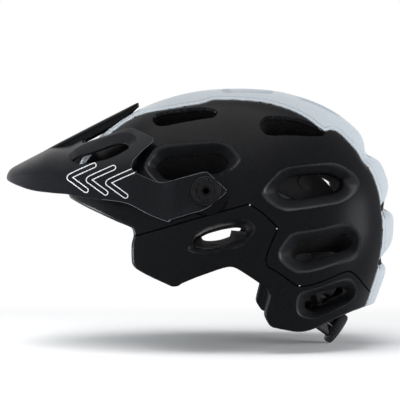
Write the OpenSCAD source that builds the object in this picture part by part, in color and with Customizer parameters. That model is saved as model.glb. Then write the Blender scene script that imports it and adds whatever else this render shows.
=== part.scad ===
// Mountain bike helmet: foam liner, moulded shells, tilting visor and a dial fit system
// Front is -X, the wearer's left is -Y and up is +Z; the origin lies inside the head cavity

/* [Shells and foam] */
// Half of the helmet's width
half_width = 105; // [103:0.5:107]
// Thickness of the moulded shells
shell_wall = 1.6; // [1.2:0.1:2]
// Gap between a shell and the foam under it
shell_gap = 0.2; // [0.1:0.05:0.3]
// Foam thickness over the crown
foam_top = 30; // [27:0.5:32]
// Foam thickness at the forehead
foam_front = 28; // [26:0.5:30]
// Foam thickness behind the head
foam_rear = 34; // [32:0.5:36]
// Foam thickness at the temples
foam_side = 26; // [24:0.5:28]
// Half width of the notched strip down the back
notch_edge = 62; // [58:1:66]
// Depth of a vent's bevel, measured inwards
bevel_depth = 12; // [10:0.5:14]
// Corner radius of the vents in the crown panel
crown_vent_round = 4; // [3:0.25:4.5]

/* [Visor] */
// Reach of the visor's tip in front of the origin
visor_reach = 186; // [180:1:192]
// Half width of the visor at its arms
visor_half_width = 99; // [97:0.5:101]
// Wall thickness of the visor
visor_wall = 2.4; // [2:0.1:3]
// Height of the raised spine above the wings
spine_rise = 7; // [6:0.5:9]
// Width of the spine
spine_width = 36; // [30:1:40]
// Gap between the visor's arm and the shell
arm_gap = 1.2; // [1:0.1:1.6]

/* [Visor pivot] */
// Pivot ahead of the origin
pivot_back = 17.4; // [16:0.2:19]
// Height of the pivot above the origin
pivot_rise = 36.8; // [36:0.2:38]
// Radius of the seat that carries the visor's arm
seat_radius = 17.2; // [16.8:0.1:17.6]
// Depth of the seat's round base, sunk in the foam
seat_flange = 11; // [9:0.5:13]
// Radius of the seat's boss below its base
seat_boss = 9; // [8:0.5:10]
// Radius of the flat round end of the visor's arm
arm_end_radius = 17; // [16:0.2:17.4]
// Thickness of the washer under the arm
washer_thick = 0.8; // [0.6:0.1:1]
// Radius of the visor knob
knob_radius = 11.7; // [10.5:0.1:12.5]
// Height of the visor knob
knob_height = 5.6; // [5:0.2:7]
// Radius of the knob's threaded stud
stud_radius = 2.5; // [2:0.1:3]

/* [Fit system] */
// Radius of the fit dial
dial_radius = 14; // [13:0.25:15]
// Thickness of the fit dial
dial_thick = 7.4; // [6.5:0.1:8]
// Teeth on the dial's pinion
pinion_teeth = 12; // [10:1:13]
// Size of one gear tooth, pitch radius over half the teeth
tooth_module = 0.8; // [0.7:0.02:0.84]
// Height of the gear chamber
chamber_height = 6; // [5.6:0.1:6.6]
// Wall of the gear housing
housing_wall = 1.5; // [1.3:0.1:2]
// Thickness of the cradle
cradle_wall = 2.5; // [2:0.1:3]
// Width of the fit belts
belt_width = 13; // [11:0.5:14]
// Thickness of the fit belts
belt_thick = 1.6; // [1.4:0.1:1.8]
// Gap between the foam and the fit belts
belt_gap = 6; // [5.8:0.1:6.4]
// Radius of the temple pins
pin_radius = 3; // [2.6:0.1:3.4]
// Running clearance round the pins and the stud
running_gap = 0.05; // [0.02:0.01:0.08]

/* [Padding] */
// Thickness of the comfort pads
pad_thick = 7; // [5:0.5:8]
// Thickness of the hook discs that hold the pads
hook_thick = 0.8; // [0.6:0.1:1]

/* [Straps] */
// Width of the strap webbing
strap_width = 15; // [13:0.5:17]
// Thickness of the strap webbing
strap_thick = 1.6; // [1.2:0.1:2]
// Gap between the foam and the folded straps
strap_gap = 1.9; // [1.8:0.05:2]
// Gap between the foam and the buckle under the crown
buckle_gap = 14; // [13.5:0.25:15]
// Radius of the strap anchors
anchor_radius = 6; // [5:0.25:7]
// Length of one half of the chin buckle
buckle_length = 26; // [24:0.5:28]

/* [Hidden] */

LEFT = -1;
RIGHT = 1;

// The shell is measured by its reach from an axis across the ears, every 15 degrees from -45 to 225,
// with 0 to the rear and 90 up
pole_x = 8;
pole_z = -55;
SHELL_REACH = [100, 106, 111, 117, 133, 153, 170, 179, 180.3, 179, 180, 180.7,
    178, 164.5, 148, 138, 130, 125, 120];
first_angle = -45;
last_angle = 225;
reach_step = 15;
side_limit = 88;

// Notches across the back: angle, depth and half width in degrees
NOTCHES = [[48.5, 6.3, 3], [32.8, 8.8, 2.8], [16.5, 8, 2.8]];
notch_fade = 16;

// Lower edge of the helmet, seen from the side, from the brow to the nape
RIM = [[-170, 33], [-132, 31], [-104, 19], [-80, 9], [-75, 4], [-76, -18], [-71, -26],
    [-45, -38], [-36, -36], [-5, -24], [3, -23], [10, -26], [28.5, -39], [31.5, -46.5],
    [29, -62], [34, -70], [57, -74], [68, -72], [98, -60], [124, -57], [170, -57]];
// Seam between the upper and lower side shells, from the front rim to the nape
SEAM = [[-90, 1], [-75, 2], [-53.3, 7.3], [-22, 16], [9, 24.6], [16, 26], [27, 20], [38.5, 8],
    [33, -6], [29.5, -19], [32, -23], [40, -28], [57, -38], [72, -35], [96, -27],
    [104, -32], [113, -42], [135, -62]];
// Edge of the crown panel, from the forehead over the side to the nape
CROWN_EDGE = [[-170, 50], [-128, 51], [-118, 62], [-104, 78], [-88, 92], [-70, 101.4], [-47, 105],
    [-22, 108.8], [-10, 112], [15, 111.6], [39, 107.7], [51, 103.5], [66.6, 94.9],
    [73.5, 89.3], [80, 85.7], [85, 87], [90, 85.5], [101, 74.5], [111, 62], [116, 55],
    [120.5, 45], [123.2, 30], [126, 15], [126.5, 0], [124.5, -15], [121.2, -30], [116.2, -45], [111, -62]];
far = 170;

// Side vents: middle x and z, length, height, tilt, bevel and upward look
SIDE_VENTS = [[-27.8, 59.1, 56.4, 17, 6, 6.9, 10], [-34.3, 98.2, 49.7, 9.8, 7.5, 3.6, 40],
    [52.6, 88.8, 51.4, 12.2, -5.5, 3.3, 40], [66.4, 40.8, 55.6, 19, 4.5, 8.5, 0],
    [74.6, -8, 49.4, 14.8, 11.5, 8, 0], [79.4, -49.2, 37.4, 13.7, 17.5, 6.4, 0],
    [-5.4, 1.1, 44, 13.8, 15, 5, 0]];
// Crown vents: angle, distance from the middle, length along the crown, width across
CROWN_VENTS = [[133, 27, 26, 13], [87, 24, 38, 12], [67, 22, 34, 12],
    [48.5, 17, 9, 22], [32.8, 17, 9, 24], [16.7, 17, 9.2, 24.2]];
vent_outside = 8;
vent_inside = 48;
vent_lip = 0.5;

function spline(k, t) =
    let(n = len(k) - 1, i = max(0, min(n - 1, floor(t))), f = t - i)
    let(a = k[max(0, i - 1)], b = k[i], c = k[i + 1], d = k[min(n, i + 2)])
    b + f * (c - a + f * (2 * a - 5 * b + 4 * c - d + f * (3 * (b - c) + d - a))) / 2;
function smooth(t) = let(c = max(0, min(1, t))) c * c * (3 - 2 * c);
function mix(a, b, t) = a + (b - a) * t;
function unit(v) = v / norm(v);

function reach(th) = spline(SHELL_REACH, (th - first_angle) / reach_step);
function fullness(th) = 2.35 + 0.15 * cos(th);
function notch(th) = let(cuts = [for (n = NOTCHES) n[1] * exp(-pow((th - n[0]) / n[2], 2))])
    cuts[0] + cuts[1] + cuts[2];
function shell_point(th, ta, off) =
    let(q = 2 / fullness(th), y = (half_width - off) * sign(ta) * pow(abs(sin(ta)), q))
    let(r = (reach(th) - off) * pow(cos(ta), q)
        - notch(th) * smooth((notch_edge - abs(y)) / notch_fade))
    [pole_x + r * cos(th), y, pole_z + r * sin(th)];
function angle_at(x, z) = let(th = atan2(z - pole_z, x - pole_x)) th < -90 ? th + 360 : th;
function shell_y(x, z) =
    let(th = angle_at(x, z), p = fullness(th), share = norm([x - pole_x, z - pole_z]) / reach(th))
    share < 1 ? half_width * pow(1 - pow(share, p), 1 / p) : 0;

// The head cavity follows the shell at the foam's thickness
cavity_fullness = 2.2;
function foam(th) = mix(cos(th) > 0 ? foam_rear : foam_front, foam_top, pow(sin(th), 2));
function cavity_point(th, ta, off) =
    let(q = 2 / cavity_fullness, r = (reach(th) - foam(th) - off) * pow(cos(ta), q))
    let(y = (half_width - foam_side - off) * sign(ta) * pow(abs(sin(ta)), q))
    [pole_x + r * cos(th), y, pole_z + r * sin(th)];
function cavity_out(th, ta) = unit(cross(cavity_point(th, ta + 1, 0) - cavity_point(th, ta - 1, 0),
    cavity_point(th + 1, ta, 0) - cavity_point(th - 1, ta, 0)));

// A solid through rings of points, with its faces turned outwards whichever way the rings run
function sum_of(list) = [for (i = 0, t = 0; i < len(list); t = t + list[i], i = i + 1) t + list[i]];
function volume_under(points, tris) = let(parts = sum_of([for (t = tris)
    points[t[0]] * cross(points[t[1]], points[t[2]])])) parts[len(parts) - 1];
// Long thin rings, which run out along one face and back along the other, get ends of narrow strips
module skin(rings, strips = false) {
    n = len(rings);
    m = len(rings[0]);
    points = [for (ring = rings) for (p = ring) p];
    sides = [for (i = [0 : n - 2]) for (j = [0 : m - 1])
        let(a = i * m + j, b = i * m + (j + 1) % m) each [[a, b, b + m], [a, b + m, a + m]]];
    first = strips ? [for (j = [0 : m / 2 - 2]) each [[m - 1 - j, m - 2 - j, j + 1], [m - 1 - j, j + 1, j]]]
        : [[for (j = [m - 1 : -1 : 0]) j]];
    last = [for (e = first) [for (k = [len(e) - 1 : -1 : 0]) (n - 1) * m + e[k]]];
    ends = concat(first, last);
    fans = [for (e = ends) for (k = [1 : len(e) - 2]) [e[0], e[k], e[k + 1]]];
    outwards = volume_under(points, concat(sides, fans)) < 0;
    faces = concat(ends, sides);
    polyhedron(points, outwards ? faces
        : [for (f = faces) [for (k = [len(f) - 1 : -1 : 0]) f[k]]], convexity = 8);
}

shell_sides = 16;
SHELL_ANGLES = concat([for (th = [first_angle : 9 : 0]) th], [for (th = [5 : 3 : 56]) th],
    [for (th = [65 : 10 : last_angle]) th]);
// Neighbouring points step to and fro along the shell, so that no four lie almost in one plane
function step_along(th, j, amount) =
    th > first_angle && th < last_angle ? amount * (j % 2 - 0.5) : 0;
module shell_solid(off) {
    skin([for (th = SHELL_ANGLES) [for (j = [0 : shell_sides])
        shell_point(th + step_along(th, j, 1), side_limit * (2 * j / shell_sides - 1), off)]]);
}

cavity_sides = 16;
module cavity_solid() {
    skin([for (th = [first_angle : 7.5 : last_angle]) [for (j = [0 : cavity_sides])
        cavity_point(th + step_along(th, j, 2), side_limit * (2 * j / cavity_sides - 1), 0)]]);
}

// Extrudes a side view outline across the helmet, or over one side of it
module across(outline) {
    rotate([90, 0, 0]) linear_extrude(2 * far, center = true) polygon(outline);
}
module one_side(side, outline) {
    mirror([0, side > 0 ? 1 : 0, 0]) rotate([90, 0, 0]) linear_extrude(far) polygon(outline);
}
module both_sides() {
    children();
    mirror([0, 1, 0]) children();
}
module on_side(side) {
    mirror([0, side > 0 ? 1 : 0, 0]) children();
}

above_rim = concat(RIM, [[far, far], [-far, far]]);
above_seam = concat(SEAM, [[far, far], [-far, far]]);
below_seam = concat(SEAM, [[far, -far], [-far, -far]]);
below_crown_edge = concat(CROWN_EDGE, [[far, -far], [-far, -far]]);

// Eight corners of a long hexagon with blunt tips, or of a round ended slot
function slot_outline(a, b, h, e) =
    [[a, -e], [a, e], [b, h], [-b, h], [-a, e], [-a, -e], [-b, -h], [b, -h]];
function vent_ring(v, outline, out) = [for (p = outline)
    let(x = v[0] + p[0] * cos(v[4]) - p[1] * sin(v[4]),
        z = v[1] + p[0] * sin(v[4]) + p[1] * cos(v[4]))
    [x, -shell_y(x, z) - out * cos(v[6]), z + out * sin(v[6])]];
module vent_cut(v) {
    half = v[2] / 2;
    throat = slot_outline(half, half - 0.38 * v[3], v[3] / 2, v[3] / 5);
    spread = v[5] * (1 + vent_outside / bevel_depth);
    mouth = slot_outline(half + 1.3 * spread, half - v[3] / 3, v[3] / 2 + spread, v[3] / 8);
    // The bevel ends just inside the throat, so that the two cuts cross
    inner = slot_outline(half - vent_lip, half - 0.38 * v[3] - vent_lip, v[3] / 2 - vent_lip, v[3] / 5 - vent_lip / 2);
    hull() skin([vent_ring(v, mouth, vent_outside), vent_ring(v, inner, -bevel_depth)]);
    hull() skin([vent_ring(v, throat, vent_outside), vent_ring(v, throat, -vent_inside)]);
}
module side_vent_cuts() {
    both_sides() for (v = SIDE_VENTS) vent_cut(v);
}
module crown_vent_cut(c) {
    translate([pole_x, c[1], pole_z]) rotate([0, -c[0], 0]) hull() {
        for (a = [-1, 1], b = [-1, 1]) {
            translate([reach(c[0]) - vent_inside, a * (c[3] / 2 - crown_vent_round),
                b * (c[2] / 2 - crown_vent_round)])
                rotate([0, 90, 0])
                cylinder(r = crown_vent_round, h = vent_inside + vent_outside, $fn = 8);
        }
    }
}
module crown_vent_cuts() {
    both_sides() for (c = CROWN_VENTS) crown_vent_cut(c);
}

// Visor pivot, stacked outwards along the pivot axis
pivot_x = -pivot_back;
pivot_z = pivot_rise;
seat_drop = 9.7;
seat_face = half_width - seat_drop;
seat_clear = 0.25;
seat_depth = 8;
arm_face = seat_face + washer_thick + 0.1;
knob_face = arm_face + visor_wall + 0.2;
// Puts a shape's start at a distance out along the pivot axis; it grows inwards from there
module at_pivot(y) {
    translate([pivot_x, -y, pivot_z]) rotate([-90, 0, 0]) children();
}
// Room for the seat in the shell and the foam, on one side
module seat_room() {
    at_pivot(seat_face - seat_flange - seat_clear) mirror([0, 0, 1])
        cylinder(r = seat_radius + seat_clear, h = 30, $fn = 48);
    at_pivot(seat_face - seat_flange) cylinder(r = seat_boss + seat_clear,
        h = seat_depth + seat_clear, $fn = 32);
}

// Strap anchors: angle and side angle of the front and the rear one, square to the cavity wall
ANCHORS = [[155.5, -63.5], [-3, -47]];
anchor_depth = 6;
anchor_proud = 0.7;
function cavity_y(x, z, off) =
    let(th = angle_at(x, z), share = norm([x - pole_x, z - pole_z]) / (reach(th) - foam(th) - off))
    share < 1 ? (half_width - foam_side - off)
        * pow(1 - pow(share, cavity_fullness), 1 / cavity_fullness) : 0;
// Turns a shape's z axis outwards, square to the cavity wall, at a gap from it
module on_wall(th, ta, gap) {
    out = cavity_out(th, ta);
    translate(cavity_point(th, ta, gap)) rotate([0, 0, atan2(out[1], out[0])])
        rotate([0, acos(out[2]), 0]) children();
}
module anchor_pin(a, grow) {
    on_wall(a[0], a[1], anchor_proud) translate([0, 0, -3 * grow])
        cylinder(r = anchor_radius + grow, h = anchor_depth + anchor_proud + 4 * grow, $fn = 32);
}

// Temple pins, on the axis about which the fit system swings
temple_x = -55;
temple_z = 4;
temple_y = cavity_y(temple_x, temple_z, 0);
pin_depth = 8;
pin_inside = belt_gap + 8;
module temple_hole(grow) {
    translate([temple_x, -temple_y + 2, temple_z]) rotate([90, 0, 0])
        cylinder(r = pin_radius + grow, h = pin_depth + 2 + grow, $fn = 32);
}

module foam_liner() {
    color([0.1, 0.1, 0.11]) difference() {
        intersection() {
            shell_solid(shell_wall + shell_gap);
            across(above_rim);
        }
        cavity_solid();
        side_vent_cuts();
        crown_vent_cuts();
        both_sides() {
            seat_room();
            for (a = ANCHORS) anchor_pin(a, 0.1);
            temple_hole(0.1);
        }
        cradle_bay();
    }
}
// Room in the rear rim for the dial's housing and the belts' rack ends
module cradle_bay() {
    at_dial() translate([-housing_half_x - bay_room, -bay_half_y, -bay_depth])
        cube([3 * housing_half_x, 2 * bay_half_y, bay_depth + cover_z]);
}

module crown_shell() {
    color([0.72, 0.77, 0.8]) difference() {
        intersection() {
            shell_solid(0);
            across(above_rim);
        }
        shell_solid(shell_wall);
        across(below_crown_edge);
        side_vent_cuts();
        crown_vent_cuts();
    }
}

module upper_shell(side) {
    color([0.06, 0.06, 0.07]) difference() {
        intersection() {
            shell_solid(0);
            one_side(side, below_crown_edge);
            across(above_seam);
            across(above_rim);
        }
        shell_solid(shell_wall);
        side_vent_cuts();
        on_side(side) seat_room();
        // The forehead vents run on into the side shells
        both_sides() crown_vent_cut(CROWN_VENTS[0]);
    }
}
module upper_shell_left() { upper_shell(LEFT); }
module upper_shell_right() { upper_shell(RIGHT); }

module lower_shell(side) {
    color([0.07, 0.07, 0.08]) difference() {
        intersection() {
            shell_solid(0);
            one_side(side, below_crown_edge);
            across(below_seam);
            across(above_rim);
        }
        shell_solid(shell_wall);
        side_vent_cuts();
    }
}
module lower_shell_left() { lower_shell(LEFT); }
module lower_shell_right() { lower_shell(RIGHT); }

// Pivot seats, bonded in the foam under the visor's arms
insert_radius = 4.5;
insert_length = 10;
insert_sunk = 2;
module pivot_seats() {
    color([0.08, 0.08, 0.09]) both_sides() difference() {
        union() {
            at_pivot(seat_face) cylinder(r = seat_radius, h = seat_flange, $fn = 64);
            at_pivot(seat_face - seat_flange + 0.01) cylinder(r = seat_boss, h = seat_depth, $fn = 48);
        }
        at_pivot(seat_face + 1) cylinder(r = stud_radius + 0.4, h = 40, $fn = 32);
        at_pivot(seat_face - insert_sunk) cylinder(r = insert_radius, h = insert_length, $fn = 32);
    }
}
module pivot_inserts() {
    color([0.75, 0.6, 0.3]) both_sides() difference() {
        at_pivot(seat_face - insert_sunk) cylinder(r = insert_radius, h = insert_length, $fn = 32);
        at_pivot(seat_face) cylinder(r = stud_radius + running_gap, h = 40, $fn = 32);
    }
}
module pivot_washers() {
    color([0.12, 0.12, 0.12]) both_sides() difference() {
        at_pivot(seat_face + washer_thick) cylinder(r = stud_radius + 6.5, h = washer_thick, $fn = 48);
        at_pivot(seat_face + washer_thick + 1) cylinder(r = stud_radius + 0.4, h = 5, $fn = 32);
    }
}

// Visor: the outer line of each section across it runs from the middle down to the side edge
visor_start = 0.4;
arm_blend_front = -78;
arm_blend_rear = -40;
visor_fullness = 2.2;
nose_z = 50;
visor_slope = 0.514;
// The lists below hold for a visor of this reach; in front of its root they stretch with the reach
listed_reach = 186;
visor_root = -50;
visor_stretch = (visor_reach + visor_root) / (listed_reach + visor_root);
function listed_x(x) = x < visor_root ? visor_root + (x - visor_root) / visor_stretch : x;
function model_x(x) = x < visor_root ? visor_root + (x - visor_root) * visor_stretch : x;
// Height of the visor's side edge along x
VISOR_EDGE = [[-186, 48], [-181, 44.8], [-161, 38.3], [-143, 35.8], [-127, 34.2], [-112, 31],
    [-94, 29.4], [-79, 26.6], [-62, 18], [-47, 12.4]];
// The wings drop below the spine this far behind the tip, over this length
wing_drop_start = 34;
wing_drop_run = 25;
function visor_top(x) = let(t = listed_x(x) + listed_reach) nose_z + visor_slope * t + 5 * (1 - exp(-t / 2));
function visor_half(x) = let(s = max(0, min(1, (listed_x(x) + listed_reach) / listed_reach)))
    visor_half_width * sqrt(max(0, 1 - pow(1 - s, 2.3)));
function visor_point(x, ta, inset) =
    let(q = 2 / visor_fullness, c = pow(cos(ta), q), s = pow(abs(sin(ta)), q))
    let(low = lookup(listed_x(x), VISOR_EDGE), t = listed_x(x) + listed_reach)
    let(top = visor_top(x) - spine_rise * smooth((t - wing_drop_start) / wing_drop_run))
    let(z = low + (top - inset - low) * c, bill = max(0.2, visor_half(x) - inset) * s)
    let(flat = norm([x - pivot_x, z - pivot_z]) - seat_radius - arm_flat_more, cover = shell_y(x, z) + arm_gap)
    let(arm = max(cover, mix(arm_face + arm_plate_lift, cover, smooth(flat / arm_flat_fade)))
        + (visor_wall - 2 * arm_plate_lift) * (1 - inset / visor_wall))
    [x, sign(ta) * mix(bill, max(arm, 1), smooth((listed_x(x) - arm_blend_front) / (arm_blend_rear - arm_blend_front))), z];
arm_plate_lift = 0.45;
arm_flat_more = 7;
arm_flat_fade = 15;
visor_sides = 16;
VISOR_STATIONS = concat([visor_start, 2, 5, 10, 18, 28, 39, 50, 63, 76, 89, 102, 115],
    [for (t = [124 : 8 : 180]) t]);
// Side view outline of the wings and arms, behind the solid front
VISOR_SIDE = [[-200, -20], [-50, -20], [-47, 13.6], [-38, 16.4], [-25, 21.5],
    [-23, 36], [-26, 50.5], [-52, 43.2], [-60, 45.6], [-67, 48.7], [-74.4, 52],
    [-77, 56], [-75.4, 61.5], [-67.6, 69.7], [-59, 77], [-59, 78.6], [-61.4, 81],
    [-69.7, 85.4], [-79, 89], [-99.4, 82.7], [-112, 78.8], [-126, 73], [-128, 130], [-200, 130]];
wing_hole_x = -104;
wing_hole_z = 69;
wing_hole_length = 50;
wing_hole_height = 13;
wing_hole_tilt = 14;
spine_front_x = -158;
spine_rear_x = -74;
spine_thick = 3.2;
module spine_section(x, width) {
    z = visor_top(x);
    translate([x - 1, -width / 2 + 4, z - 0.8]) cube([1, width - 8, 0.8]);
    translate([x - 1, -width / 2, z - 3.4]) cube([1, width, 0.6]);
    translate([x - 1, -width / 2 + 4, z - 0.8 - spine_thick]) cube([1, width - 8, 0.8]);
}
SPINE = [[spine_front_x, 16], [-140, 0], [-118, 0], [-96, 1], [spine_rear_x, 8]];
module visor() {
    color([0.06, 0.06, 0.07]) difference() {
        union() {
            difference() {
                intersection() {
                    skin([for (t = VISOR_STATIONS) let(x = model_x(t - listed_reach))
                        concat([for (j = [0 : visor_sides])
                            visor_point(x, 90 * (2 * j / visor_sides - 1), 0)],
                        [for (j = [visor_sides : -1 : 0])
                            visor_point(x, 90 * (2 * j / visor_sides - 1), visor_wall) - [0, 0, 0.02]])]);
                    across([for (p = VISOR_SIDE) [model_x(p[0]), p[1]]]);
                }
                both_sides() at_pivot(seat_face + 30) cylinder(r = arm_end_radius - 1.5, h = 60, $fn = 48);
            }
            for (i = [0 : len(SPINE) - 2]) hull() {
                spine_section(model_x(SPINE[i][0]), spine_width - SPINE[i][1]);
                spine_section(model_x(SPINE[i + 1][0]), spine_width - SPINE[i + 1][1]);
            }
            both_sides() at_pivot(arm_face + visor_wall)
                cylinder(r = arm_end_radius, h = visor_wall, $fn = 64);
        }
        both_sides() {
            at_pivot(arm_face + visor_wall + 5) cylinder(r = stud_radius + 0.3, h = 30, $fn = 32);
            wing_hole();
        }
    }
}
module wing_hole() {
    dx = wing_hole_length / 2 - wing_hole_height / 2;
    translate([model_x(wing_hole_x), 0, wing_hole_z]) rotate([0, -wing_hole_tilt, 0]) hull() {
        for (s = [-1, 1]) translate([s * dx, -20, 0]) rotate([90, 0, 0])
            cylinder(d = wing_hole_height, h = far, $fn = 24);
    }
}

// Visor knobs, each with a moulded stud that turns in the insert
stud_inside = 3;
stud_length = knob_face + stud_inside - (seat_face - insert_sunk - insert_length);
module knob(side) {
    color([0.07, 0.07, 0.08]) on_side(side) difference() {
        at_pivot(knob_face + knob_height) {
            rotate_extrude($fn = 72) polygon([[0, 0], [knob_radius - 2, 0], [knob_radius - 0.6, 0.9],
                [knob_radius, 2.2], [knob_radius, knob_height], [0, knob_height]]);
        }
        at_pivot(knob_face + stud_inside) cylinder(r = stud_radius, h = 20, $fn = 32);
        for (a = [90, 270]) at_pivot(knob_face + knob_height + 1) rotate([0, 0, a])
            for (b = [-9, 9]) rotate([0, 0, b])
                translate([knob_radius * 0.62, -0.8, 0]) cube([knob_radius * 0.26, 1.6, 2.4]);
        for (a = [0, 180]) at_pivot(knob_face + knob_height + 1) rotate([0, 0, a])
            translate([knob_radius * 0.62, -2.4, 0]) cube([2.6, 4.8, 2.4]);
        at_pivot(knob_face + knob_height + 1) cylinder(r = 2.6, h = 2.2, $fn = 32);
    }
}
module knob_left() { knob(LEFT); }
module knob_right() { knob(RIGHT); }
module knob_stud(side) {
    color([0.55, 0.55, 0.57]) on_side(side) at_pivot(knob_face + stud_inside)
        cylinder(r = stud_radius, h = stud_length, $fn = 48);
}
module knob_stud_left() { knob_stud(LEFT); }
module knob_stud_right() { knob_stud(RIGHT); }

// Fit system frame: z out through the dial, y across, the origin on the cradle's inner face
dial_face_x = 96.5;
dial_face_z = -81.2;
dial_lean = 125.2;
pitch_radius = tooth_module * pinion_teeth / 2;
tooth_pitch = PI * tooth_module;
tooth_height = 2 * tooth_module;
housing_z = cradle_wall;
chamber_z = housing_z + housing_wall;
cover_z = chamber_z + chamber_height;
dial_z = cover_z + housing_wall + 0.5;
stack = dial_z + dial_thick;
dial_base_x = dial_face_x - stack * sin(dial_lean);
dial_base_z = dial_face_z - stack * cos(dial_lean);
rack_back = 2;
rack_outer = pitch_radius + tooth_height / 2 + rack_back;
housing_half_x = rack_outer + 0.3 + housing_wall;
housing_half_y = 22;
shaft_radius = 2.6;
bay_room = 2;
bay_depth = 8;
bay_half_y = 44;
module at_dial() {
    translate([dial_base_x, 0, dial_base_z]) rotate([0, dial_lean, 0]) children();
}

// Four sided strip along stations of angle, side angle and gap from the cavity wall
function station_point(s) = cavity_point(s[0], s[1], s[2]);
module strip(stations, width, thick) {
    n = len(stations);
    skin([for (i = [0 : n - 1])
        let(s = stations[i], p = station_point(s), out = cavity_out(s[0], s[1]))
        let(along = station_point(stations[min(n - 1, i + 1)]) - station_point(stations[max(0, i - 1)]))
        let(w = unit(cross(along, out)) * width / 2)
        [p - w, p + w, p + w - out * thick, p - w - out * thick]]);
}
// Stations between hand chosen ones, on a smooth line
function blend_stations(list, steps) = [for (k = [0 : (len(list) - 1) * steps])
    let(t = k / steps) [spline([for (s = list) s[0]], t), spline([for (s = list) s[1]], t),
        spline([for (s = list) s[2]], t)]];

cradle_gap = 5;
cradle_reach = 24;
cradle_angle = -7;
cradle_height = 24;
module cradle() {
    color([0.1, 0.1, 0.11]) {
        difference() {
            union() {
                strip([for (ta = [-cradle_reach : 4 : cradle_reach]) [cradle_angle, ta, cradle_gap]],
                    cradle_height, cradle_wall);
                at_dial() translate([-housing_half_x, -housing_half_y, 0])
                    cube([2 * housing_half_x, 2 * housing_half_y, cradle_wall]);
            }
            at_dial() translate([0, 0, -1]) cylinder(r = shaft_radius + running_gap, h = 8, $fn = 48);
            at_dial() for (s = [-1, 1]) translate([0, s * 17, -6]) cylinder(r = 0.9, h = 12, $fn = 24);
        }
    }
}
module dial_housing() {
    color([0.09, 0.09, 0.1]) at_dial() difference() {
        translate([-housing_half_x, -housing_half_y, housing_z])
            cube([2 * housing_half_x, 2 * housing_half_y, housing_wall + chamber_height]);
        translate([-rack_outer - 0.3, -housing_half_y - 1, chamber_z])
            cube([2 * rack_outer + 0.6, 2 * housing_half_y + 2, chamber_height + 1]);
        translate([0, 0, -1]) cylinder(r = shaft_radius + running_gap, h = 12, $fn = 48);
        for (s = [-1, 1]) translate([0, s * 17, -1]) cylinder(r = 0.9, h = 12, $fn = 24);
    }
}
module dial_cover() {
    color([0.09, 0.09, 0.1]) at_dial() difference() {
        translate([-housing_half_x, -housing_half_y, cover_z])
            cube([2 * housing_half_x, 2 * housing_half_y, housing_wall]);
        translate([0, 0, cover_z - 1]) cylinder(r = shaft_radius + running_gap, h = 6, $fn = 48);
        for (s = [-1, 1]) translate([0, s * 17, cover_z - 1]) cylinder(r = 0.9, h = 6, $fn = 24);
    }
}
module cover_screws() {
    color([0.5, 0.5, 0.52]) at_dial() for (s = [-1, 1]) translate([0, s * 17, 0]) {
        translate([0, 0, 0.4]) cylinder(r = 0.9, h = cover_z + housing_wall - 0.4, $fn = 24);
        translate([0, 0, cover_z + housing_wall]) cylinder(r = 1.7, h = 0.4, $fn = 24);
    }
}
// Pinion and shaft in one piece; the dial sits on its upper end
module dial_pinion() {
    tooth = tooth_pitch * 0.36;
    color([0.85, 0.85, 0.83]) at_dial() {
        translate([0, 0, 0.2]) cylinder(r = shaft_radius, h = dial_z + dial_thick - 2.6, $fn = 48);
        translate([0, 0, chamber_z + 0.3]) linear_extrude(chamber_height - 0.6) union() {
            circle(r = pitch_radius - tooth_height * 0.55, $fn = 48);
            for (i = [0 : pinion_teeth - 1]) rotate(i * 360 / pinion_teeth) polygon([
                [pitch_radius - tooth_height * 0.6, -tooth * 0.75], [pitch_radius, -tooth / 2],
                [pitch_radius + tooth_height * 0.4, -tooth * 0.28], [pitch_radius + tooth_height * 0.4, tooth * 0.28],
                [pitch_radius, tooth / 2], [pitch_radius - tooth_height * 0.6, tooth * 0.75]]);
        }
    }
}
dial_grips = 24;
module dial_knob() {
    color([0.08, 0.08, 0.09]) at_dial() difference() {
        translate([0, 0, dial_z]) rotate_extrude($fn = 72) polygon([[0, 0], [dial_radius - 1, 0],
            [dial_radius, 1], [dial_radius, dial_thick - 1.6], [dial_radius - 1.6, dial_thick], [0, dial_thick]]);
        translate([0, 0, dial_z - 1]) cylinder(r = shaft_radius, h = dial_thick - 1.4, $fn = 48);
        translate([0, 0, dial_z]) cylinder(r = 1.1, h = dial_thick + 1, $fn = 24);
        translate([0, 0, dial_z + dial_thick - 1.5]) cylinder(r = 2.6, h = 2, $fn = 32);
        for (i = [0 : dial_grips - 1]) rotate(i * 360 / dial_grips)
            translate([dial_radius + 0.5, 0, dial_z - 1]) cylinder(r = 1.2, h = dial_thick + 2, $fn = 16);
    }
}
module dial_screw() {
    color([0.5, 0.5, 0.52]) at_dial() {
        translate([0, 0, dial_z + dial_thick - 1.5]) cylinder(r = 2.2, h = 1.1, $fn = 32);
        translate([0, 0, dial_z + dial_thick - 2.4]) cylinder(r = 1.1, h = 0.9, $fn = 24);
    }
}

// Fit belts, by angle, side angle and what the gap differs by: a rack in the housing, a curved band along the temple and an eye on the temple pin
belt_rack_back = 12;
belt_rack_out = 28;
BELT = [[-12, -23, -4.8], [-5, -34, -3], [4, -44, 0], [18, -58, 0], [40, -68, 0], [68, -71, 0],
    [95, -71, 0], [118, -68, 0], [132, -59, 0], [134.9, -56.4, 0]];
module rack() {
    tooth = tooth_pitch * 0.36;
    inner = pitch_radius + tooth_height * 0.55;
    translate([0, 0, chamber_z + 0.4]) linear_extrude(chamber_height - 0.8) {
        translate([inner, -belt_rack_out]) square([rack_outer - inner, belt_rack_out + belt_rack_back]);
        for (k = [-3 : 3]) translate([0, (k + 0.5) * tooth_pitch]) polygon([
            [inner + 0.1, -tooth * 0.72], [inner + 0.1, tooth * 0.72], [pitch_radius, tooth / 2],
            [pitch_radius - tooth_height * 0.4, tooth * 0.28], [pitch_radius - tooth_height * 0.4, -tooth * 0.28],
            [pitch_radius, -tooth / 2]]);
    }
}
eye_y = temple_y - belt_gap - 2.2;
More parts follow.
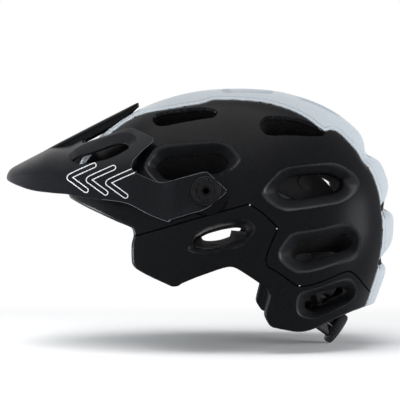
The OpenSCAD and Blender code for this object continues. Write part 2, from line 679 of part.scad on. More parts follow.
module belt_band() {
    strip([for (s = blend_stations(BELT, 3)) s + [0, 0, belt_gap]], belt_width, belt_thick);
    difference() {
        translate([temple_x, -eye_y - 1.4, temple_z]) rotate([-90, 0, 0])
            cylinder(r = pin_radius + 4.2, h = 2.8, $fn = 48);
        translate([temple_x, -eye_y - 8, temple_z]) rotate([-90, 0, 0])
            cylinder(r = pin_radius + running_gap, h = 20, $fn = 48);
    }
}
// Joins the rack's end to the start of the band
module rack_link() {
    hull() {
        at_dial() children();
        strip([for (k = [0 : 1]) mix(BELT[0], BELT[1], k / 4) + [0, 0, belt_gap]], belt_width, belt_thick);
    }
}
module rack_end() {
    translate([rack_outer - rack_back, -belt_rack_out - 1, chamber_z + 0.4])
        cube([rack_back, 3, chamber_height - 0.8]);
}
module belt_left() {
    color([0.14, 0.14, 0.15]) {
        belt_band();
        at_dial() rack();
        rack_link() rack_end();
    }
}
module belt_right() {
    color([0.14, 0.14, 0.15]) {
        mirror([0, 1, 0]) {
            belt_band();
            rack_link() mirror([1, 0, 0]) rack_end();
        }
        at_dial() rotate([0, 0, 180]) rack();
    }
}
module temple_pins() {
    color([0.1, 0.1, 0.11]) both_sides()
        translate([temple_x, -temple_y - pin_depth, temple_z]) rotate([-90, 0, 0])
            cylinder(r = pin_radius, h = pin_depth + pin_inside, $fn = 48);
}

// A comfort pad on the cavity wall between two angles and two side angles
pad_seat = hook_thick + 0.8;
function pillow(u, v) = (1 - pow(abs(2 * u - 1), 6)) * (1 - pow(abs(2 * v - 1), 6))
    * (1 - 0.22 * exp(-pow((v - 0.33) / 0.04, 2)) - 0.22 * exp(-pow((v - 0.67) / 0.04, 2)));
module pad(th0, th1, ta0, ta1, n, m) {
    skin([for (i = [0 : n]) let(u = i / n, th = mix(th0, th1, u)) concat(
        [for (j = [0 : m]) cavity_point(th, mix(ta0, ta1, j / m), pad_seat)],
        [for (j = [m : -1 : 0]) cavity_point(th, mix(ta0, ta1, j / m),
            pad_seat + mix(1.4, pad_thick, pillow(u, j / m)))])], strips = true);
}
module brow_pad() { color([0.15, 0.15, 0.16]) pad(128, 141, -46, 46, 5, 15); }
module crown_pad() { color([0.15, 0.15, 0.16]) pad(74, 112, -21, 21, 6, 10); }
SIDE_PADS = [[106, 126, 30, 52], [48, 73, 30, 52]];
module side_pad(side, s) {
    color([0.15, 0.15, 0.16]) on_side(side) pad(s[0], s[1], -s[3], -s[2], 5, 8);
}
module side_pad_front_left() { side_pad(LEFT, SIDE_PADS[0]); }
module side_pad_front_right() { side_pad(RIGHT, SIDE_PADS[0]); }
module side_pad_rear_left() { side_pad(LEFT, SIDE_PADS[1]); }
module side_pad_rear_right() { side_pad(RIGHT, SIDE_PADS[1]); }
// The nape pad lies on the cradle, above the housing
module cradle_pad() {
    color([0.15, 0.15, 0.16]) skin([for (j = [0 : 12]) let(ta = mix(-19, 19, j / 12), v = j / 12)
        let(p = cavity_point(cradle_angle, ta, cradle_gap + cradle_wall + 0.3))
        let(out = cavity_out(cradle_angle, ta), up = unit(cross(out, [0, -1, 0])))
        let(crown = mix(1.2, 4.4, pillow(0.5, v)))
        [for (q = [[-1, 0], [8.5, 0], [8.5, 0.9], [7, crown], [3.8, crown + 0.3], [0.5, crown], [-1, 0.9]])
            p + up * q[0] - out * q[1]]]);
}
// Hook discs between the pads and the foam
HOOKS = [[134.5, -26], [134.5, 26], [134.5, 0], [93, 0], [116, -41], [116, 41], [60.5, -41], [60.5, 41]];
hook_radius = 6;
module pad_hooks() {
    color([0.1, 0.1, 0.1]) for (h = HOOKS)
        on_wall(h[0], h[1], pad_seat - 0.25) cylinder(r = hook_radius, h = hook_thick, $fn = 24);
}

// Straps, folded up inside the cavity: they lie on the foam behind the belts, and the chin strap
// rises from the dividers to the buckle, closed under the crown
divider_angle = 92;
divider_reach = [-66, -52];
FRONT_STRAP = [[155.5, -63.5, strap_gap], [148, -67, strap_gap], [138, -68, strap_gap],
    [120, -64, strap_gap], [98, -60, strap_gap]];
REAR_STRAP = [[-3, -47, strap_gap], [3, -52, strap_gap], [12, -58, strap_gap], [40, -61, strap_gap],
    [66, -60.5, strap_gap], [86, -60, strap_gap]];
module strap_anchors() {
    color([0.12, 0.12, 0.13]) both_sides() for (a = ANCHORS) anchor_pin(a, 0);
}
module webbing(side, list) {
    color([0.05, 0.05, 0.05]) on_side(side) strip(blend_stations(list, 3), strap_width, strap_thick);
}
module front_strap_left() { webbing(LEFT, FRONT_STRAP); }
module front_strap_right() { webbing(RIGHT, FRONT_STRAP); }
module rear_strap_left() { webbing(LEFT, REAR_STRAP); }
module rear_strap_right() { webbing(RIGHT, REAR_STRAP); }
divider_thick = strap_thick + 2.6;
module divider(side) {
    color([0.09, 0.09, 0.1]) on_side(side) strip([for (k = [0 : 5])
        [divider_angle, mix(divider_reach[0], divider_reach[1], k / 5), strap_gap - 0.9]],
        strap_width + 11, divider_thick);
}
module divider_left() { divider(LEFT); }
module divider_right() { divider(RIGHT); }
chin_start = -56;
chin_top = -18;
function chin_gap(u) = mix(strap_gap, buckle_gap, smooth(1.4 * u - 0.1));
function chin_station(u, more) = [divider_angle, mix(chin_start, chin_top, u), chin_gap(u) + more];
module chin_strap(side) {
    color([0.05, 0.05, 0.05]) on_side(side) strip([for (k = [0 : 12]) chin_station(k / 12, 0)],
        strap_width, strap_thick);
}
module chin_strap_left() { chin_strap(LEFT); }
module chin_strap_right() { chin_strap(RIGHT); }
module chin_pad() {
    color([0.14, 0.14, 0.14]) mirror([0, 1, 0]) strip([for (k = [3 : 10])
        chin_station(k / 12, strap_thick + 0.3)], strap_width + 8, 3);
}
// The buckle halves lie flat across the middle, end to end
buckle_z = pole_z + reach(divider_angle) - foam(divider_angle) - buckle_gap - 9;
buckle_x = pole_x + (reach(divider_angle) - foam_top - buckle_gap) * cos(divider_angle);
module buckle_block(y0, y1, width, z0, z1) {
    translate([buckle_x - width / 2, y0, buckle_z + z0]) cube([width, y1 - y0, z1 - z0]);
}
module buckle_socket() {
    color([0.07, 0.07, 0.08]) difference() {
        hull() {
            buckle_block(-buckle_length, 0, 22, 1, 7);
            buckle_block(-buckle_length + 2, -2, 24, 2, 6);
            buckle_block(-buckle_length + 2, -2, 20, 0, 8);
        }
        buckle_block(-buckle_length + 8, 1, 17, 2, 6);
    }
}
module buckle_plug() {
    color([0.07, 0.07, 0.08]) {
        hull() {
            buckle_block(0.4, buckle_length, 22, 1, 7);
            buckle_block(2, buckle_length - 2, 20, 0, 8);
        }
        buckle_block(-12, 1, 4, 2.4, 5.6);
        for (s = [-1, 1]) translate([s * 6, 0, 0]) buckle_block(-16, 1, 3.2, 2.4, 5.6);
    }
}

foam_liner();
crown_shell();
upper_shell_left();
upper_shell_right();
lower_shell_left();
lower_shell_right();
pivot_seats();
pivot_inserts();
pivot_washers();
visor();
knob_left();
knob_right();
knob_stud_left();
knob_stud_right();
cradle();
dial_housing();
dial_cover();
cover_screws();
dial_pinion();
dial_knob();
dial_screw();
cradle_pad();
belt_left();
belt_right();
temple_pins();
brow_pad();
crown_pad();
side_pad_front_left();
side_pad_front_right();
side_pad_rear_left();
side_pad_rear_right();
pad_hooks();
strap_anchors();
front_strap_left();
front_strap_right();
rear_strap_left();
rear_strap_right();
divider_left();
divider_right();
chin_strap_left();
chin_strap_right();
chin_pad();
buckle_socket();
buckle_plug();
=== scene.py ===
import bpy
import math
import numpy as np
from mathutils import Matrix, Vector, bvhtree, kdtree


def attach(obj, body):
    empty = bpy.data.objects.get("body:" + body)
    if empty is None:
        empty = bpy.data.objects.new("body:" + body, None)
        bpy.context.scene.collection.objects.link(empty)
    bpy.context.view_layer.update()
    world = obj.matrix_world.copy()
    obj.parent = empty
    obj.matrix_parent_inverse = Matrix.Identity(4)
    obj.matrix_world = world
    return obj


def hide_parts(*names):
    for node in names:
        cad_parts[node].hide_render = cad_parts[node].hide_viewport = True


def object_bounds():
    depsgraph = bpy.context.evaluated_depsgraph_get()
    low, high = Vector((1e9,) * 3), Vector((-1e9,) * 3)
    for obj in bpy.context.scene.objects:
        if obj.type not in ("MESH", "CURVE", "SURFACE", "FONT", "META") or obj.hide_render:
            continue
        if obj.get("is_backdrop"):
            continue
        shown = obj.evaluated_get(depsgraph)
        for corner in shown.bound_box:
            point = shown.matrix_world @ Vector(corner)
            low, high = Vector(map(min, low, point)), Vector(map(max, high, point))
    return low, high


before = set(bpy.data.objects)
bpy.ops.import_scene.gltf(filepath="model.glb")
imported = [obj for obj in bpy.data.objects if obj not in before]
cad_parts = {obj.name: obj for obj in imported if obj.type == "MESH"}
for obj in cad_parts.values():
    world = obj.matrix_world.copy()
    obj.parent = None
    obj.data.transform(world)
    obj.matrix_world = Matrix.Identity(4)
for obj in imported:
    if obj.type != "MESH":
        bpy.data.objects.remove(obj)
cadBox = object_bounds()
mm = 0.001
print("frame loaded,", len(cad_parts), "nodes")


def smooth(t):
    t = np.clip(t, 0, 1)
    return t * t * (3 - 2 * t)


def mix(a, b, t):
    return a + (b - a) * t


def unit(v):
    return v / np.maximum(np.linalg.norm(v, axis=-1, keepdims=True), 1e-9)


def turns(count):  # the angles of a full turn in equal steps
    return np.arange(count) * 2 * math.pi / count


def runAlong(points):  # the way covered at each point of a line
    return np.concatenate([[0], np.cumsum(np.linalg.norm(np.diff(points, axis=0), axis=1))])


def splineAt(keys, t):  # a smooth line through the keys, one unit of t apart
    keys = np.asarray(keys, float)
    n = len(keys) - 1
    t = np.asarray(t, float)
    i = np.clip(np.floor(t).astype(int), 0, n - 1)
    f = t - i
    if keys.ndim > 1:
        f = f[..., None]
    a, b, c, d = keys[np.maximum(i - 1, 0)], keys[i], keys[i + 1], keys[np.minimum(i + 2, n)]
    return b + f * (c - a + f * (2 * a - 5 * b + 4 * c - d + f * (3 * (b - c) + d - a))) / 2


def curveThrough(points, steps, closed=False):
    points = np.asarray(points, float)
    if not closed:
        return splineAt(points, np.linspace(0, len(points) - 1, (len(points) - 1) * steps + 1))
    wrapped = np.vstack([points[-2:], points, points[:3]])
    return splineAt(wrapped, 2 + np.arange(len(points) * steps) / steps)


def lineDistance(points, loop, closed=True):  # in the side view, and negative inside a closed outline
    x, z = points[:, 0], points[:, 2]
    a = np.asarray(loop, float)
    b = np.roll(a, -1, axis=0)
    if not closed:
        a, b = a[:-1], b[:-1]
    best = np.full(len(x), 1e12)
    inside = np.zeros(len(x), bool)
    for (x0, z0), (x1, z1) in zip(a, b):
        dx, dz = x1 - x0, z1 - z0
        t = np.clip(((x - x0) * dx + (z - z0) * dz) / max(dx * dx + dz * dz, 1e-9), 0, 1)
        best = np.minimum(best, (x - x0 - t * dx) ** 2 + (z - z0 - t * dz) ** 2)
        if closed and z0 != z1:
            inside ^= ((z0 > z) != (z1 > z)) & (x < dx * (z - z0) / dz + x0)
    return np.where(inside, -1, 1) * np.sqrt(best)


def nearDistance(points, loop, reach, closed=True):  # the same, worked out only near the outline
    loop = np.asarray(loop, float)
    out = np.full(len(points), float(reach))
    flat = points[:, [0, 2]]
    near = ((flat > loop.min(axis=0) - reach) & (flat < loop.max(axis=0) + reach)).all(axis=1)
    if near.any():
        out[near] = lineDistance(points[near], loop, closed)
    return out


def splitAlong(net, faces, value, snap=0.1):  # cuts triangles where the value is nought
    value = np.where(np.abs(value) < snap, 0.0, value)
    side = np.sign(value)[faces]
    crossed = side * side[:, [1, 2, 0]] < 0
    count = crossed.sum(axis=1)
    if not count.any():
        return net, faces
    a, b = faces[crossed], faces[:, [1, 2, 0]][crossed]
    pairs = np.unique(np.sort(np.stack([a, b], axis=1), axis=1), axis=0)
    t = (value[pairs[:, 0]] / (value[pairs[:, 0]] - value[pairs[:, 1]]))[:, None]
    added = net[pairs[:, 0]] * (1 - t) + net[pairs[:, 1]] * t
    key = pairs[:, 0].astype(np.int64) * (len(net) + 1) + pairs[:, 1]

    def between(p, q):
        k = np.minimum(p, q).astype(np.int64) * (len(net) + 1) + np.maximum(p, q)
        return len(net) + np.searchsorted(key, k)

    kept = [faces[count == 0]]
    for k in range(3):
        turned = faces[:, [k, (k + 1) % 3, (k + 2) % 3]]
        two = (count == 2) & crossed[:, k] & crossed[:, (k + 2) % 3]
        p, q, r = turned[two].T
        pq, rp = between(p, q), between(r, p)
        kept += [np.stack([p, pq, rp], 1), np.stack([pq, q, r], 1), np.stack([pq, r, rp], 1)]
        one = (count == 1) & crossed[:, k]
        q, r, p = turned[one].T
        qr = between(q, r)
        kept += [np.stack([p, q, qr], 1), np.stack([p, qr, r], 1)]
    return np.vstack([net, added]), np.vstack(kept)


def trimmed(points, faces):  # drops the points that no face uses
    used, back = np.unique(faces, return_inverse=True)
    return points[used], back.reshape(faces.shape)


def gridFaces(rows, cols, wrap=False):
    i, j = np.meshgrid(np.arange(rows - 1), np.arange(cols if wrap else cols - 1), indexing="ij")
    a, b = (i * cols + j).ravel(), (i * cols + (j + 1) % cols).ravel()
    return np.stack([a, b, b + cols, a + cols], axis=1)


def mirroredFaces(rows, cols):  # triangles of a grid, split alike on both sides of the middle
    quads = gridFaces(rows, cols)
    half = (np.arange(len(quads)) % (cols - 1)) < (cols - 1) // 2
    left, right = quads[half], quads[~half]
    return np.vstack([left[:, [0, 1, 2]], left[:, [0, 2, 3]], right[:, [0, 1, 3]], right[:, [1, 2, 3]]])


def facingOut(points, faces, out):
    corner = points[faces[:, 0]]
    normal = np.cross(points[faces[:, 1]] - corner, points[faces[:, 2]] - corner)
    return faces[:, ::-1] if np.einsum("ij,ij->i", normal, out[faces[:, 0]]).sum() < 0 else faces


def bevelShare(mouth, throat):  # distance in from a vent's mouth, and its share of the bevel
    inside, outside = np.maximum(-mouth, 0), np.maximum(throat, 0)
    return inside, np.where(inside > 0, inside / np.maximum(inside + outside, 1e-6), 0)


def addPiece(name, points, faces, material=None, crease=None, second=None, secondFaces=None):
    mesh = bpy.data.meshes.new(name)
    faces = faces if isinstance(faces, list) else faces.tolist()
    mesh.from_pydata((np.asarray(points) * mm).tolist(), [], faces)
    if material:
        mesh.materials.append(material)
    if second:
        mesh.materials.append(second)
        mesh.polygons.foreach_set("material_index", np.asarray(secondFaces, np.int32))
    mesh.polygons.foreach_set("use_smooth", np.ones(len(mesh.polygons), bool))
    mesh.update()
    if crease:
        mesh.set_sharp_from_angle(angle=math.radians(crease))
    piece = bpy.data.objects.new(name, mesh)
    bpy.context.scene.collection.objects.link(piece)
    return piece


def dress(piece, crease, *materials):  # gives a piece its finishes and its sharp edges
    piece.data.materials.clear()
    for material in materials:
        piece.data.materials.append(material)
    piece.data.set_sharp_from_angle(angle=math.radians(crease))


def meshPoints(mesh):
    co = np.empty(len(mesh.vertices) * 3)
    mesh.vertices.foreach_get("co", co)
    return co.reshape(-1, 3) / mm


def wall(piece, thick):  # gives a sheet its thickness, inwards
    solid = piece.modifiers.new("wall", "SOLIDIFY")
    solid.thickness = thick * mm
    solid.offset = -1
    solid.use_even_offset = False
    return piece


def evaluated(piece):
    return bpy.data.meshes.new_from_object(piece.evaluated_get(bpy.context.evaluated_depsgraph_get()))


def baked(piece):  # makes the modifiers part of the mesh
    old, piece.data = piece.data, evaluated(piece)
    piece.modifiers.clear()
    bpy.data.meshes.remove(old)
    return piece


def carve(piece, cutter, kind="DIFFERENCE"):  # applies one cut and removes the cutter
    cut = piece.modifiers.new("cut", "BOOLEAN")
    cut.operation, cut.solver, cut.object = kind, "MANIFOLD", cutter
    baked(piece)
    bpy.data.objects.remove(cutter)


def loft(name, rings):  # a closed solid through rings of equally many points
    rings = [np.asarray(r, float) for r in rings]
    n = len(rings[0])
    faces = gridFaces(len(rings), n, wrap=True).tolist()
    faces += [list(range(n))[::-1], [(len(rings) - 1) * n + k for k in range(n)]]
    piece = addPiece(name, np.vstack(rings), faces)
    mesh, co = piece.data, meshPoints(piece.data)
    mesh.calc_loop_triangles()
    a, b, c = co[np.array([t.vertices[:] for t in mesh.loop_triangles])].transpose(1, 0, 2)
    if np.einsum("ij,ij->i", a, np.cross(b, c)).sum() < 0:  # the volume, so the faces look outwards
        mesh.flip_normals()
    return piece


def prism(name, outline, ends):  # an outline of the side view carried across the helmet
    return loft(name, [np.stack([outline[:, 0], np.full(len(outline), y), outline[:, 1]], 1) for y in ends])


def setInputs(tree, node, given):  # each socket set to a value, or linked to another socket
    for key, value in given.items():
        if isinstance(value, bpy.types.NodeSocket):
            tree.links.new(value, node.inputs[key])
        else:
            node.inputs[key].default_value = value
    return node


def addNode(tree, kind, given, **settings):
    node = tree.nodes.new(kind)
    for key, value in settings.items():
        setattr(node, key, value)
    return setInputs(tree, node, given)


def finish(name, colour, rough, metal=0.0, sheen=0.0, specular=0.5):
    material = bpy.data.materials.new(name)
    material.use_nodes = True
    tree = material.node_tree
    shader = setInputs(tree, tree.nodes["Principled BSDF"], {
        "Base Color": (*colour, 1), "Roughness": rough, "Metallic": metal, "Sheen Weight": sheen,
        "Specular IOR Level": specular})
    return material, tree, shader, addNode(tree, "ShaderNodeTexCoord", {}).outputs["Object"]


def addNoise(tree, source, scale, detail, distortion=0.0):
    given = {"Vector": source, "Scale": scale, "Detail": detail, "Distortion": distortion}
    return addNode(tree, "ShaderNodeTexNoise", given).outputs["Fac"]


def addCells(tree, source, scale, feature="F1", randomness=1.0):
    given = {"Vector": source, "Scale": scale, "Randomness": randomness}
    return addNode(tree, "ShaderNodeTexVoronoi", given, feature=feature)


def addRange(tree, source, low, high, fromLow=0.3, fromHigh=0.7):
    given = {"Value": source, "From Min": fromLow, "From Max": fromHigh, "To Min": low, "To Max": high}
    return addNode(tree, "ShaderNodeMapRange", given).outputs["Result"]


def addTint(tree, source, low, high, fromLow=0.3, fromHigh=0.7):  # 6, 7 and output 2 are the colour sockets
    given = {0: addRange(tree, source, 0, 1, fromLow, fromHigh), 6: (*low, 1), 7: (*high, 1)}
    return addNode(tree, "ShaderNodeMix", given, data_type="RGBA").outputs[2]


def addBump(tree, source, distance, strength, under=None):
    given = {"Height": source, "Distance": distance, "Strength": strength}
    return addNode(tree, "ShaderNodeBump", given | ({"Normal": under} if under else {})).outputs["Normal"]


def addMath(tree, operation, *given):
    return addNode(tree, "ShaderNodeMath", dict(enumerate(given)), operation=operation).outputs[0]


def mouldedPlastic(name, colour, worn, rough, grain=2600, depth=0.00002, specular=0.5):
    material, tree, shader, place = finish(name, colour, rough, specular=specular)
    fine = addNoise(tree, place, grain, 3)  # moulded grain
    slow = addNoise(tree, place, 34, 5, 0.4)  # slow changes of gloss
    marks = addNoise(tree, place, 420, 6)  # paler rubbed spots
    setInputs(tree, shader, {"Roughness": addRange(tree, slow, rough - 0.05, rough + 0.06),
                             "Base Color": addTint(tree, marks, colour, worn, 0.45, 0.75),
                             "Normal": addBump(tree, fine, depth, 0.8, addBump(tree, slow, 0.00015, 0.25))})
    return material


def foamFinish(name, colour, pale, bead=620):  # fused beads of expanded foam
    material, tree, shader, place = finish(name, colour, 0.85, specular=0.15)
    tone = addNoise(tree, addCells(tree, place, bead).outputs["Color"], 3, 1)
    edges = addCells(tree, place, bead, "DISTANCE_TO_EDGE").outputs["Distance"]
    setInputs(tree, shader, {"Base Color": addTint(tree, tone, colour, pale),
                             "Normal": addBump(tree, addRange(tree, edges, 0, 1, 0, 0.25), 0.00035, 0.7)})
    return material


def knitFinish(name, colour, pale, loops=900):  # brushed knit over foam padding
    material, tree, shader, place = finish(name, colour, 0.9, sheen=0.35, specular=0.2)
    cells = addCells(tree, place, loops, "SMOOTH_F1", 0.35).outputs["Distance"]
    fuzz, soft = addNoise(tree, place, 3400, 4), addNoise(tree, place, 60, 4)
    setInputs(tree, shader, {"Base Color": addTint(tree, soft, colour, pale),
                             "Normal": addBump(tree, fuzz, 0.0001, 0.5, addBump(tree, cells, 0.0004, 0.8))})
    return material


def webbingFinish(name, colour, pale, ribs=1500, across=900):  # woven tape: its UV is in metres
    material, tree, shader = finish(name, colour, 0.7, sheen=0.2, specular=0.35)[:3]
    flat = addNode(tree, "ShaderNodeUVMap", {}, uv_map="weave")
    parts = addNode(tree, "ShaderNodeSeparateXYZ", {0: flat.outputs["UV"]})
    warp = addMath(tree, "SINE", addMath(tree, "MULTIPLY", parts.outputs["Y"], across * 2 * math.pi))
    turn = addMath(tree, "MULTIPLY", parts.outputs["X"], ribs * 2 * math.pi)
    weft = addMath(tree, "SINE", addMath(tree, "ADD", turn, warp))
    weave = addMath(tree, "MULTIPLY_ADD", warp, weft, weft)
    setInputs(tree, shader, {"Base Color": addTint(tree, weave, colour, pale, -1, 1.5),
                             "Normal": addBump(tree, weave, 0.00016, 0.9)})
    return material


def metalFinish(name, colour, rough, scale=900):  # turned metal with fine marks
    material, tree, shader, place = finish(name, colour, rough, metal=1.0)
    stretch = addNode(tree, "ShaderNodeMapping", {"Vector": place, "Scale": (1, 6, 1)})
    marks = addNoise(tree, stretch.outputs[0], scale, 5)
    dull = tuple(c * 0.8 for c in colour)
    setInputs(tree, shader, {"Roughness": addRange(tree, marks, rough - 0.08, rough + 0.1),
                             "Base Color": addTint(tree, marks, colour, dull),
                             "Normal": addBump(tree, marks, 0.00001, 0.5)})
    return material


blackShell = mouldedPlastic("blackShellFinish", (0.0028, 0.0031, 0.004), (0.0052, 0.0056, 0.0068), 0.32,
                            specular=0.07)
paleShell = mouldedPlastic("paleShellFinish", (0.42, 0.465, 0.505), (0.46, 0.505, 0.545), 0.38)
visorPlastic = mouldedPlastic("visorPlasticFinish", (0.0042, 0.0047, 0.0063), (0.007, 0.0076, 0.0096), 0.33,
                              specular=0.1)
# painted highlight: the vents' bevel faces get a lighter black than the shell, standing for the light they
# reflect
paintedBevelHighlight = mouldedPlastic("satinBevelFinish", (0.0105, 0.011, 0.0128), (0.016, 0.0165, 0.019), 0.34,
                            specular=0.2)
whiteStripe = mouldedPlastic("whiteStripeFinish", (0.78, 0.80, 0.82), (0.7, 0.72, 0.74), 0.5)
blackNylon = mouldedPlastic("blackNylonFinish", (0.0045, 0.0046, 0.0054), (0.0085, 0.0086, 0.01), 0.38,
                            grain=1800, depth=0.00004, specular=0.12)
# painted highlight: a pale grey for the narrow band along edges, standing for the glints on them
paintedEdgeGlint = mouldedPlastic("rubbedEdgeFinish", (0.1, 0.105, 0.115), (0.15, 0.155, 0.165), 0.4,
                            grain=1800, specular=0.3)
beltNylon = mouldedPlastic("beltNylonFinish", (0.018, 0.018, 0.02), (0.028, 0.028, 0.03), 0.55,
                           grain=1500, depth=0.00005)
dialRubber = mouldedPlastic("dialRubberFinish", (0.016, 0.016, 0.018), (0.03, 0.03, 0.032), 0.66,
                            grain=1400, depth=0.00006)
softWasher = mouldedPlastic("softWasherFinish", (0.02, 0.02, 0.02), (0.03, 0.03, 0.03), 0.8,
                            grain=1200, depth=0.00005)
whiteAcetal = mouldedPlastic("whiteAcetalFinish", (0.72, 0.72, 0.68), (0.66, 0.66, 0.62), 0.35)
darkFoam = foamFinish("darkFoamFinish", (0.005, 0.005, 0.0055), (0.01, 0.01, 0.011))
padKnit = knitFinish("padKnitFinish", (0.012, 0.012, 0.0135), (0.024, 0.024, 0.026))
hookTape = knitFinish("hookTapeFinish", (0.012, 0.012, 0.012), (0.03, 0.03, 0.03), 1600)
threadKnit = knitFinish("threadFinish", (0.03, 0.03, 0.033), (0.07, 0.07, 0.075), 2600)
blackWebbing = webbingFinish("blackWebbingFinish", (0.008, 0.008, 0.009), (0.028, 0.028, 0.03))
plainSteel = metalFinish("plainSteelFinish", (0.5, 0.5, 0.52), 0.32)
turnedBrass = metalFinish("turnedBrassFinish", (0.68, 0.48, 0.2), 0.28)

nodeFinish = {"pivot_inserts": turnedBrass, "pivot_washers": softWasher, "knob_stud_left": plainSteel,
              "knob_stud_right": plainSteel, "cradle": blackNylon, "cover_screws": plainSteel,
              "dial_pinion": whiteAcetal, "dial_screw": plainSteel, "pad_hooks": hookTape}
for nodeName, nodeMaterial in nodeFinish.items():
    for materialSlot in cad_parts[nodeName].material_slots:
        materialSlot.material = nodeMaterial
print("finishes made")

dome = {"pole": (8, -55), "halfWidth": 105, "firstAngle": -45, "step": 15,
        "reach": (100, 106, 111, 117, 133, 153, 170, 179, 180.3, 179, 180, 180.7,
                  178, 164.5, 148, 138, 130, 125, 120),
        "notches": ((48.5, 6.3, 3), (32.8, 8.8, 2.8), (16.5, 8, 2.8)), "notchEdge": 62, "notchFade": 16,
        "netStep": 1.5, "netAngles": (-36, 176), "netSides": 88, "wall": 1.6,
        "foamTop": 30, "foamFront": 28, "foamRear": 34, "foamSide": 26, "cavityFullness": 2.2}


def reachAt(th):
    return splineAt(dome["reach"], (np.asarray(th, float) - dome["firstAngle"]) / dome["step"])


def fullness(th):
    return 2.35 + 0.15 * np.cos(np.radians(th))


def polar(th, r, y):
    a = np.radians(th)
    return np.stack([dome["pole"][0] + r * np.cos(a), y, dome["pole"][1] + r * np.sin(a)], axis=-1)


def domePoint(th, ta, off=0.0):
    th, ta = np.broadcast_arrays(np.asarray(th, float), np.asarray(ta, float))
    q = 2 / fullness(th)
    s, c = np.sin(np.radians(ta)), np.cos(np.radians(ta))
    y = (dome["halfWidth"] - off) * np.sign(ta) * np.abs(s) ** q
    cut = sum(d * np.exp(-((th - a) / w) ** 2) for a, d, w in dome["notches"])
    r = (reachAt(th) - off) * c ** q - cut * smooth((dome["notchEdge"] - np.abs(y)) / dome["notchFade"])
    return polar(th, r, y)


def angleAt(x, z):
    th = np.degrees(np.arctan2(z - dome["pole"][1], x - dome["pole"][0]))
    return np.where(th < -90, th + 360, th)


def domeSide(x, z):  # the dome's half width at a place in the side view
    th = angleAt(x, z)
    p = fullness(th)
    share = np.clip(np.hypot(x - dome["pole"][0], z - dome["pole"][1]) / reachAt(th), 0, 1)
    return dome["halfWidth"] * (1 - share ** p) ** (1 / p)


def foamAt(th):
    a = np.radians(th)
    return mix(np.where(np.cos(a) > 0, dome["foamRear"], dome["foamFront"]), dome["foamTop"], np.sin(a) ** 2)


def cavityPoint(th, ta, off=0.0):
    th, ta = np.broadcast_arrays(np.asarray(th, float), np.asarray(ta, float))
    q = 2 / dome["cavityFullness"]
    s, c = np.sin(np.radians(ta)), np.cos(np.radians(ta))
    r = (reachAt(th) - foamAt(th) - off) * c ** q
    y = (dome["halfWidth"] - dome["foamSide"] - off) * np.sign(ta) * np.abs(s) ** q
    return polar(th, r, y)


def cavityOut(th, ta):  # outward normal of the cavity wall
    return unit(np.cross(cavityPoint(th, ta + 1) - cavityPoint(th, ta - 1),
                         cavityPoint(th + 1, ta) - cavityPoint(th - 1, ta)))


rimLine = [
    (-136, 32), (-131.8, 31.6), (-115.6, 24.1), (-102.5, 18.5), (-89.9, 13), (-79.5, 9), (-76, 6.6),
    (-74.8, 1.2), (-76.4, -6), (-76.3, -17.8), (-75, -22.5), (-71.1, -26), (-61.5, -30.9), (-48, -36.8),
    (-44, -38.4), (-39.3, -37.7), (-36.2, -35.7), (-26, -31.3), (-14.3, -27), (-4.9, -23.8), (1.4, -22.6),
    (5.3, -23.4), (9.2, -25.4), (17, -30.4), (28, -38), (31.6, -42.6), (32.2, -46.9), (30.3, -54.7),
    (29.1, -61.7), (31.1, -66.5), (34.6, -70), (44.5, -72.4), (56.5, -74.4), (67.8, -72.4), (80.9, -66.9),
    (97.9, -60.6), (105.1, -58.8), (113.6, -57), (124, -56.6)]
seamLine = [
    (-92, 0.5), (-74.8, 1.2), (-53.6, 6.9), (-22.1, 16), (9.3, 24.6), (14.5, 26.1), (18, 25.4), (26.6, 19.9),
    (34, 12.9), (38.7, 7.6), (37.6, 4.2), (32.7, -6.3), (29.9, -14.8), (29.5, -19.5), (31.5, -22.7),
    (40.5, -28.1), (53, -37), (58.7, -38.1), (72.3, -35.1), (88.6, -28.8), (95.3, -26.9), (99, -28),
    (104, -32), (113, -42), (135, -62)]
crownLine = [
    (-150, 52), (-128, 54), (-118, 62), (-104, 78), (-88, 92), (-70, 101.4), (-46.7, 104.9), (-22.1, 108.8),
    (-15.5, 110.9), (-10.6, 112.2), (2.5, 112.3), (14.8, 111.6), (27, 110.3), (39, 107.7), (51.3, 103.5),
    (59.3, 99.7), (67.2, 94.7), (73.5, 89.3), (78.5, 86.1), (82, 86.6), (85.2, 87.1), (90.3, 85.5),
    (95.9, 80.2), (101.5, 74.5), (106.4, 68.8), (111.2, 62.3), (116.1, 55), (120.1, 46), (123.3, 36.2),
    (125.4, 25), (126.3, 12), (126, 0), (124.5, -15), (121.2, -30), (116.2, -45), (111, -62)]
far = 300.0


def openLine(points):  # a smoothed line across the picture, closed far above it
    line = curveThrough(points, 5)
    return np.vstack([[(-far, line[0][1])], line, [(far, line[-1][1])], [(far, far)], [(-far, far)]])


